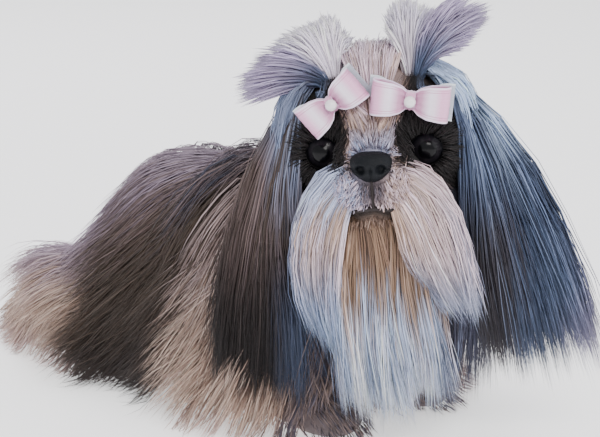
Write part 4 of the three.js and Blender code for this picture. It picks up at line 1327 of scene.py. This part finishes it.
def makeBrows(settings):
    draw, count = np.random.default_rng(151), settings["count"]
    side = eitherSide(draw, count)
    u, start = draw.random(count), draw.random(count)
    out = 1 + 31 * u
    rise = (2 + 8 * u) * (1 - start) + 30 * start
    rootBack = np.interp(u, [0, 0.5, 1], [-15, -3, 8]) * (1 - start) + np.interp(u, [0, 1], [-3, 8]) * start
    baseOut, baseBack, baseUp = topknotSettings["base"]
    places = [
        stacked(side * out, rootBack + 2, rise),
        stacked(side * (out * 0.95 + 1), rootBack - 6 + 3 * start, rise + 8),
        stacked(side * (out * 0.5 + baseOut * 0.45), -7 + 3 * u, baseUp - 7),
        stacked(side * (baseOut - 4 + 8 * u), baseBack - 6, baseUp + 4),
    ]
    keys = pairs(side * 12 + u * 9, start * 4)
    hangingCoat("browHair", places, keys, browColour, settings, 152, "coat_cream")


makeBrows(browSettings)
print("Face and brows made")


# A closed ball from rings and sides, as unit places and triangles
def ballPlaces(rings, sides):
    down = np.linspace(0, np.pi, rings + 1)[1:-1, None]
    around = np.linspace(0, 2 * np.pi, sides, endpoint=False)
    middle = stacked(np.sin(down) * np.cos(around), np.sin(down) * np.sin(around), np.cos(down)).reshape(-1, 3)
    triangles = []
    last = 1 + (rings - 2) * sides
    for side in range(sides):
        following = (side + 1) % sides
        triangles.append([0, 1 + side, 1 + following])
        for high in range(1, last, sides):
            low = high + sides
            triangles += [[high + side, low + side, low + following], [high + side, low + following, high + following]]
        triangles.append([last + side, last + sides, last + following])
    return np.concatenate([[[0, 0, 1]], middle, [[0, 0, -1]]]), np.array(triangles)


def eyeMaterial():
    material, tree, shader = newMaterial("wetEye")
    angle, turn, _ = separated(tree, attributeOf(tree, "gazePlace", "Vector"))
    fibres = noise(tree, combined(tree, turn, angle), 9.0, 3.0)
    # The faint bluish ring at 0.53, just outside the iris, is a painted reflection
    stops = (
        (0.0, (0.001, 0.001, 0.002)), (0.25, (0.001, 0.001, 0.002)), (0.28, (0.012, 0.010, 0.013)),
        (0.40, (0.009, 0.008, 0.011)), (0.46, (0.003, 0.003, 0.005)), (0.53, (0.01, 0.012, 0.018)),
        (0.75, (0.05, 0.04, 0.04)),
    )
    feed(tree, shader, {
        "Base Color": ramped(tree, calculated(tree, "MULTIPLY_ADD", fibres, 0.05, angle), stops), "Roughness": 0.3,
        "Coat Weight": 0.2, "Coat Roughness": 0.05, "Specular IOR Level": 0.1,
    })
    return material


wetEye = eyeMaterial()


def makeEye(name, side, settings, node):
    sphere, triangles = ballPlaces(settings["rings"], settings["sides"])
    gaze, across, upwards = eyeWays(side)
    angle = np.arccos(np.clip(sphere[:, 2], -1, 1))
    radius = settings["radius"] + settings["bulge"] * smoothStep(0.62, 0.25, angle)
    ball = (sphere[:, :1] * across + sphere[:, 1:2] * upwards + sphere[:, 2:] * gaze) * radius[:, None]
    piece = meshFrom(name, toWorld(eyeCentre(side) + ball), triangles)
    turn = np.arctan2(sphere[:, 1], sphere[:, 0])
    setValues(piece.data, "gazePlace", stacked(angle / np.pi * 1.6, np.cos(turn * 3) * 2, np.sin(turn)))
    finishPiece(piece, wetEye, "eye", node)


for side, sideName in ((1, "Left"), (-1, "Right")):
    makeEye("eye" + sideName, side, eyeSettings, "eye_" + sideName.lower())


def geometry(tree, kind, inputs, **settings):
    return addNode(tree, "GeometryNode" + kind, inputs, **settings).outputs[0]


def namedValue(tree, name, kind="FLOAT"):
    return geometry(tree, "InputNamedAttribute", {0: name}, data_type=kind)


def storedValue(tree, mesh, name, value):
    return geometry(tree, "StoreNamedAttribute", {0: mesh, 2: name, 3: value}, data_type="FLOAT", domain="POINT")


# A Geometry Nodes tree that sweeps an oval section along guide paths, with pleats across it
def sweepTree():
    tree, given, made = makeGroup(
        "sweptAlongPath", "GeometryNodeTree", {
            "Guide": "Geometry", "Half width": "Float", "Half depth": "Float", "Sides": "Int", "Pleats": "Float",
            "Pleat depth": "Float", "Material": "Material",
        }, {"Piece": "Geometry"},
    )
    facing = namedValue(tree, "facing", "FLOAT_VECTOR")
    curve = geometry(tree, "MeshToCurve", {0: given["Guide"]})
    curve = geometry(tree, "SetCurveNormal", {0: curve, 2: facing}, mode="FREE")
    along = addNode(tree, "GeometryNodeSplineParameter").outputs["Factor"]
    curve = storedValue(tree, curve, "along", along)
    circle = geometry(tree, "CurvePrimitiveCircle", {0: given["Sides"], 4: 1.0})
    place = separated(tree, geometry(tree, "InputPosition", {}))
    circle = storedValue(tree, circle, "across", place["Y"])
    size = combined(tree, given["Half depth"], given["Half width"], 1.0)
    oval = geometry(tree, "Transform", {0: circle, 3: size})
    mesh = geometry(tree, "CurveToMesh", {0: curve, 1: oval, 2: namedValue(tree, "reach"), 3: True})
    turns = calculated(tree, "MULTIPLY", namedValue(tree, "across"), given["Pleats"])
    depth = calculated(tree, "MULTIPLY", namedValue(tree, "gather"), given["Pleat depth"])
    lift = calculated(tree, "MULTIPLY", calculated(tree, "COSINE", turns), depth)
    mesh = geometry(tree, "SetPosition", {0: mesh, 3: scaled(tree, facing, lift)})
    mesh = geometry(tree, "SetShadeSmooth", {0: mesh})
    mesh = geometry(tree, "RealizeInstances", {0: mesh})
    feed(tree, made, {0: geometry(tree, "SetMaterial", {0: mesh, 2: given["Material"]})})
    return tree


sweptAlongPath = sweepTree()


# Guides are lists of (places, facing, reach, gather, closed), in the head's frame and in millimetres
def sweptPiece(name, guides, settings, material, slot, *nodes):
    places, facing, reach, gather, edges = [], [], [], [], []
    for path, face, size, folds, closed in guides:
        start, count = sum(len(one) for one in places), len(path)
        places.append(toWorld(path))
        facing.append(toWorldWay(unit(np.broadcast_to(face, path.shape).astype(float))))
        reach.append(np.broadcast_to(size, count))
        gather.append(np.broadcast_to(folds, count))
        edges += [(start + step, start + (step + 1) % count) for step in range(count if closed else count - 1)]
    mesh = bpy.data.meshes.new(name)
    mesh.from_pydata((np.concatenate(places) * 0.001).tolist(), edges, [])
    setValues(mesh, "facing", np.concatenate(facing))
    setValues(mesh, "reach", np.concatenate(reach), "FLOAT", "value")
    setValues(mesh, "gather", np.concatenate(gather), "FLOAT", "value")
    guide = placed(name, mesh)
    modifier = guide.modifiers.new("sweep", "NODES")
    modifier.node_group = sweptAlongPath
    given = {"Sides": settings["sides"], "Pleats": settings.get("pleats", 0.0), "Material": material}
    for label, key in (("Half width", "halfWidth"), ("Half depth", "halfDepth"), ("Pleat depth", "pleatDepth")):
        given[label] = settings.get(key, 0.0) * 0.001
    for socket in sweptAlongPath.interface.items_tree:
        if socket.in_out == "INPUT" and socket.name in given:
            modifier[socket.identifier] = given[socket.name]
    graph = bpy.context.evaluated_depsgraph_get()
    made = bpy.data.meshes.new_from_object(guide.evaluated_get(graph))
    guide.modifiers.remove(modifier)
    guide.data = made
    made.name = name
    made.materials.clear()
    finishPiece(guide, material, slot, *nodes)


# Bare dark skin of the lids, the nose and the lips
def darkSkin(name, colour, roughness, pebbles, shine):
    material, tree, shader = newMaterial(name)
    place = objectPlace(tree)
    shade = ranged(tree, noise(tree, place, 260.0, 3.0), 0.0, 1.0, 0.6, 1.5)
    cells = addNode(tree, "TexVoronoi", {"Vector": place, "Scale": 900.0}, feature="DISTANCE_TO_EDGE")
    feed(tree, shader, {
        "Base Color": scaled(tree, colour, shade), "Normal": bumped(tree, cells.outputs["Distance"], pebbles, 0.0004),
        "Roughness": roughness, "Specular IOR Level": shine,
    })
    return material


def makeLids(settings):
    guides = []
    turn = np.linspace(0, 2 * np.pi, 56, endpoint=False)
    wide, high, low = settings["opening"]
    for side in (-1, 1):
        gaze, across, upwards = eyeWays(side)
        steep = np.abs(np.sin(turn)) ** 1.15
        opening = np.radians(wide + (np.where(np.sin(turn) > 0, high, low) - wide) * steep)
        ring = np.cos(turn)[:, None] * across + np.sin(turn)[:, None] * upwards
        for radius, spread, size in settings["lidRows"]:
            angle = (opening + math.radians(spread))[:, None]
            away = gaze * np.cos(angle) + ring * np.sin(angle)
            guides.append([eyeCentre(side) + away * radius, away, size, 0.0, True])
    shape = {"halfWidth": settings["lidThickness"], "halfDepth": settings["lidThickness"] * 0.7, "sides": 12}
    lidSkin = darkSkin("lidSkin", (0.004, 0.0035, 0.004), 0.75, 0.2, 0.08)
    sweptPiece("lids", guides, shape, lidSkin, "nose_leather")


makeLids(eyeSettings)
print("Eyes and lids made")

noseSettings = {"at": (0, -29, -3), "radii": (10.2, 8.2, 8.3), "rings": 72, "sides": 96, "nostril": (5.3, -0.4, 4.2)}


def makeNose(settings):
    sphere, triangles = ballPlaces(settings["rings"], settings["sides"])
    x, z, y = sphere.T * [[1], [1], [-1]]
    across = x * x + z * z
    wide = 1 + 0.14 * smoothStep(-0.6, 0.7, z) - 0.16 * smoothStep(-0.2, -1, z)
    flat = 1 - 0.12 * smoothStep(0.35, 0.0, np.hypot(x, z))
    corner = 1 + 0.11 * 4 * x ** 2 * z ** 2 / np.maximum(across ** 2, 1e-6) * smoothStep(-0.4, 0.3, z) * across
    places = stacked(x * wide * corner, np.where(y < 0, y * flat, y), z * corner) * settings["radii"]
    front = smoothStep(1, -3, places[:, 1])
    out, up, deep = settings["nostril"]
    x, z = np.abs(places[:, 0]), places[:, 2]
    hole = np.exp(-(((x - out) / 2.5) ** 2 + ((z - up) / 2.3) ** 2) ** 1.6)
    tail = np.exp(-(((x - out - 2.6) / 2.0) ** 2 + ((z - up + 0.9) / 0.9) ** 2))
    wing = np.exp(-(((x - out - 1.2) / 2.2) ** 2 + ((z - up - 3.0) / 1.6) ** 2)) * front
    groove = np.exp(-(x / 0.6) ** 2) * smoothStep(2.5, -1.5, z) * front
    for dent in (np.maximum(hole, tail * 0.55) * deep * front, -(wing * 0.7), groove * 0.9):
        places[:, 1] += dent
    places[:, 2] += groove * 0.3 * smoothStep(-4, -7, z)
    piece = meshFrom("noseLeather", toWorld(places + settings["at"]), triangles[:, ::-1])
    finishPiece(piece, darkSkin("noseLeather", (0.004, 0.005, 0.007), 0.5, 0.7, 0.16), "nose_leather", "nose")


makeNose(noseSettings)

lipSettings = {
    "halfWidth": 1.25, "halfDepth": 1.0, "sides": 12, "skin": ("lipSkin", (0.02, 0.014, 0.014), 0.4, 0.2, 0.25),
}


def lipGuide(x, z, aside, forward, size):
    roots = surfaceAlong(toWorld(stacked(x, -4, z)), toWorldWay(unit(stacked(aside, -1, 0 * x))), faceForms)
    return [toHead(roots) + [0, forward, 0], (0, -1, 0), size, 0.0, False]


def makeLips(settings):
    x = np.linspace(-17, 17, 35)
    guides = [lipGuide(x, -25.5 - 0.34 * np.abs(x), x * 0.05, 0.4, 1.15 - 0.8 * (np.abs(x) / 17) ** 2)]
    z = np.linspace(-9, -25.5, 14)
    guides.append(lipGuide(0 * z, z, 0, 0.3, 0.5))
    sweptPiece("lips", guides, settings, darkSkin(*settings["skin"]), "nose_leather")


makeLips(lipSettings)
print("Nose and lips made")

# Bows of satin ribbon, each with a pearl on its knot; the loops' knots are how far out, how far behind and how wide
bowSettings = {
    "left": {"side": 1, "lean": 9.0, "scale": 0.97},
    "right": {"side": -1, "lean": -38.0, "scale": 0.86},
    "place": (21.0, -14.0, 28.0), "halfWidth": 9.8, "halfDepth": 0.32, "sides": 40, "pleats": 13.0, "pleatDepth": 0.55,
    "loop": (
        (1.2, 5, 10, 15, 19, 21.2, 21.6, 20.6, 17, 11, 5, 1.2),
        (-1.6, -4.4, -6.4, -7.0, -6.4, -3.8, 0.4, 3.0, 4.4, 4.2, 3.0, 1.4),
        (0.36, 0.72, 0.90, 0.95, 0.98, 1.0, 1.0, 0.98, 0.95, 0.86, 0.66, 0.34),
    ),
    "wrap": {"halfWidth": 2.7, "halfDepth": 0.5, "sides": 16, "pleats": 9.0, "pleatDepth": 0.35},
}
# Ramps along and across the ribbon: bend paints light and shade along each loop, glint a highlight band, the last dark
# lines near both edges. Each colour set is the ribbon's pink, its pale edge, a painted sheen pink and the painted
# highlight's colour
ribbonSettings = {
    "bend": ((0.12, 0.55), (0.34, 1), (0.62, 0.5)),
    "glint": ((0.13, 0), (0.23, 0.85), (0.28, 0.7), (0.35, 0.05), (0.5, 0)),
    "darkEdgeLines": ((0.66, 0), (0.70, 1), (0.73, 0), (0.80, 0), (0.83, 0.8), (0.86, 0)),
    "pinkSatin": ((0.84, 0.34, 0.60), (0.93, 0.80, 1.0), (0.97, 0.54, 0.80), (0.93, 0.86, 1.0)),
    "paleRibbon": ((0.72, 0.84, 1.0), (0.85, 0.95, 1.0), (0.84, 0.92, 1.0), (0.9, 0.96, 1.0)),
}


def solid(colour, level=1):
    return (*[value * level for value in colour], 1)


def ribbonMaterial(name, settings):
    material, tree, shader = newMaterial(name)
    # glow is the colour of the painted highlight, sheenColour the pink of the painted sheen streaks
    colour, edge, sheenColour, glow = settings[name]
    across, along = attributeOf(tree, "across", "Fac"), attributeOf(tree, "along", "Fac")
    lines = calculated(tree, "MULTIPLY", across, 75.0)
    ribs = calculated(tree, "SINE", lines)
    weave = calculated(tree, "MULTIPLY_ADD", ribs, 0.06, noise(tree, combined(tree, lines, along), 1.6, 2.0))
    away = calculated(tree, "ABSOLUTE", across)
    # Painted sheen: streaks along the ribs between a darker pink and the sheen pink
    made = mixed(tree, weave, solid(colour, 0.8), solid(sheenColour))
    # Painted light and shade along each loop, brightest about a third of the way along
    made = mixed(tree, 0.6, made, ramped(tree, along, settings["bend"]), "MULTIPLY")
    # Painted highlight: a band across each loop in the glow colour
    made = mixed(tree, ramped(tree, along, settings["glint"]), made, solid(glow))
    # Dark lines near both edges of the ribbon
    made = mixed(tree, ramped(tree, away, settings["darkEdgeLines"]), made, solid(colour, 0.7))
    feed(tree, shader, {
        "Base Color": mixed(tree, ranged(tree, away, 0.86, 0.97), made, solid(edge)),
        "Normal": bumped(tree, ribs, 0.25, 0.0002), "Roughness": 0.34,
        "Sheen Weight": 0.4, "Sheen Roughness": 0.3, "Anisotropic": 0.5,
    })
    return material


pinkSatin, paleRibbon = [ribbonMaterial(name, ribbonSettings) for name in ("pinkSatin", "paleRibbon")]


def bowPlaces(one, settings, x, y, z):
    out, forward, up = settings["place"]
    lean = math.radians(one["lean"])
    x, z = x * one["scale"], z * one["scale"]
    return stacked(
        one["side"] * out + x * math.cos(lean) + z * math.sin(lean), forward + 6 + y,
        up - x * math.sin(lean) + z * math.cos(lean),
    )


def makeBow(name, one, settings, node):
    share = np.linspace(0, 1, 45)
    at = np.linspace(0, 1, len(settings["loop"][0]))
    x, y, reach = [np.interp(share, at, values) for values in settings["loop"]]
    for _ in range(3):
        x[1:-1], y[1:-1] = [(line[:-2] + 2 * line[1:-1] + line[2:]) / 4 for line in (x, y)]
    gather = smoothStep(0.28, 0.0, np.minimum(share, 1 - share)) + 0.12
    upright = bowPlaces(one, settings, 0, 0, 1) - bowPlaces(one, settings, 0, 0, 0)
    guides = []
    for way in (-1, 1):
        path = bowPlaces(one, settings, way * x, y, 0)
        tangent = unit(np.gradient(path, axis=0))
        facing = unit(np.cross(tangent, np.broadcast_to(upright, path.shape))) * way
        guides.append([path, facing, reach, gather, False])
    sweptPiece(name, guides, settings, pinkSatin, "satin_ribbon", node)
    x = np.linspace(-23.6, 23.6, 49)
    size = 0.34 + 0.70 * smoothStep(2, 20, np.abs(x))
    path = bowPlaces(one, settings, x, 2.6 + 3.6 * smoothStep(0, 12, np.abs(x)), 0)
    guide = [path, (0, -1, 0), size, smoothStep(12, 0, np.abs(x)), False]
    sweptPiece(name + "Under", [guide], settings, paleRibbon, "satin_ribbon")
    turn = np.linspace(0, 2 * np.pi, 28, endpoint=False)
    path = bowPlaces(one, settings, 0, np.cos(turn) * 4.6 - 0.4, np.sin(turn) * 4.9)
    lean = math.radians(one["lean"])
    away = stacked(np.sin(turn) * math.sin(lean), np.cos(turn), np.sin(turn) * math.cos(lean))
    sweptPiece(name + "Knot", [[path, away, 1.0, 0.5, True]], settings["wrap"], pinkSatin, "satin_ribbon")


pearlSettings = {
    "radius": 3.2, "rings": 24, "sides": 32, "tones": ((0.35, (0.80, 0.74, 0.80)), (0.65, (0.90, 0.88, 0.88))),
}


def pearlMaterial(settings):
    material, tree, shader = newMaterial("pearlShine")
    feed(tree, shader, {
        "Base Color": ramped(tree, noise(tree, objectPlace(tree), 300.0, 2.0), settings["tones"]), "Roughness": 0.28,
        "Coat Weight": 0.8, "Coat Roughness": 0.08, "Sheen Weight": 0.3,
    })
    return material


pearlShine = pearlMaterial(pearlSettings)


def makePearl(name, side, settings, node):
    sphere, triangles = ballPlaces(settings["rings"], settings["sides"])
    out, forward, up = bowSettings["place"]
    piece = meshFrom(name, toWorld(sphere * settings["radius"] + [side * out, forward, up]), triangles)
    finishPiece(piece, pearlShine, "pearl", node)


for sideName in ("left", "right"):
    one = bowSettings[sideName]
    makeBow("bow" + sideName.capitalize(), one, bowSettings, "bow_" + sideName)
    makePearl("pearl" + sideName.capitalize(), one["side"], pearlSettings, "pearl_" + sideName)
print("Bows and pearls made")

# Floor
floorSettings = {"half": 3000.0, "colour": (0.93, 0.93, 0.94, 1), "glow": 0.8}


def makeFloor(settings):
    corners = np.array([[-1, -1, 0], [1, -1, 0], [1, 1, 0], [-1, 1, 0]]) * settings["half"]
    floor = meshFrom("floor", corners, np.array([[0, 1, 2], [0, 2, 3]]))
    floor.data.polygons.foreach_set("use_smooth", [False, False])
    material, tree, shader = newMaterial("paleFloor")
    feed(tree, shader, {
        "Base Color": settings["colour"], "Roughness": 0.7,
        "Emission Color": (1.0, 1.0, 1.0, 1), "Emission Strength": settings["glow"],
    })
    floor.data.materials.append(material)


makeFloor(floorSettings)
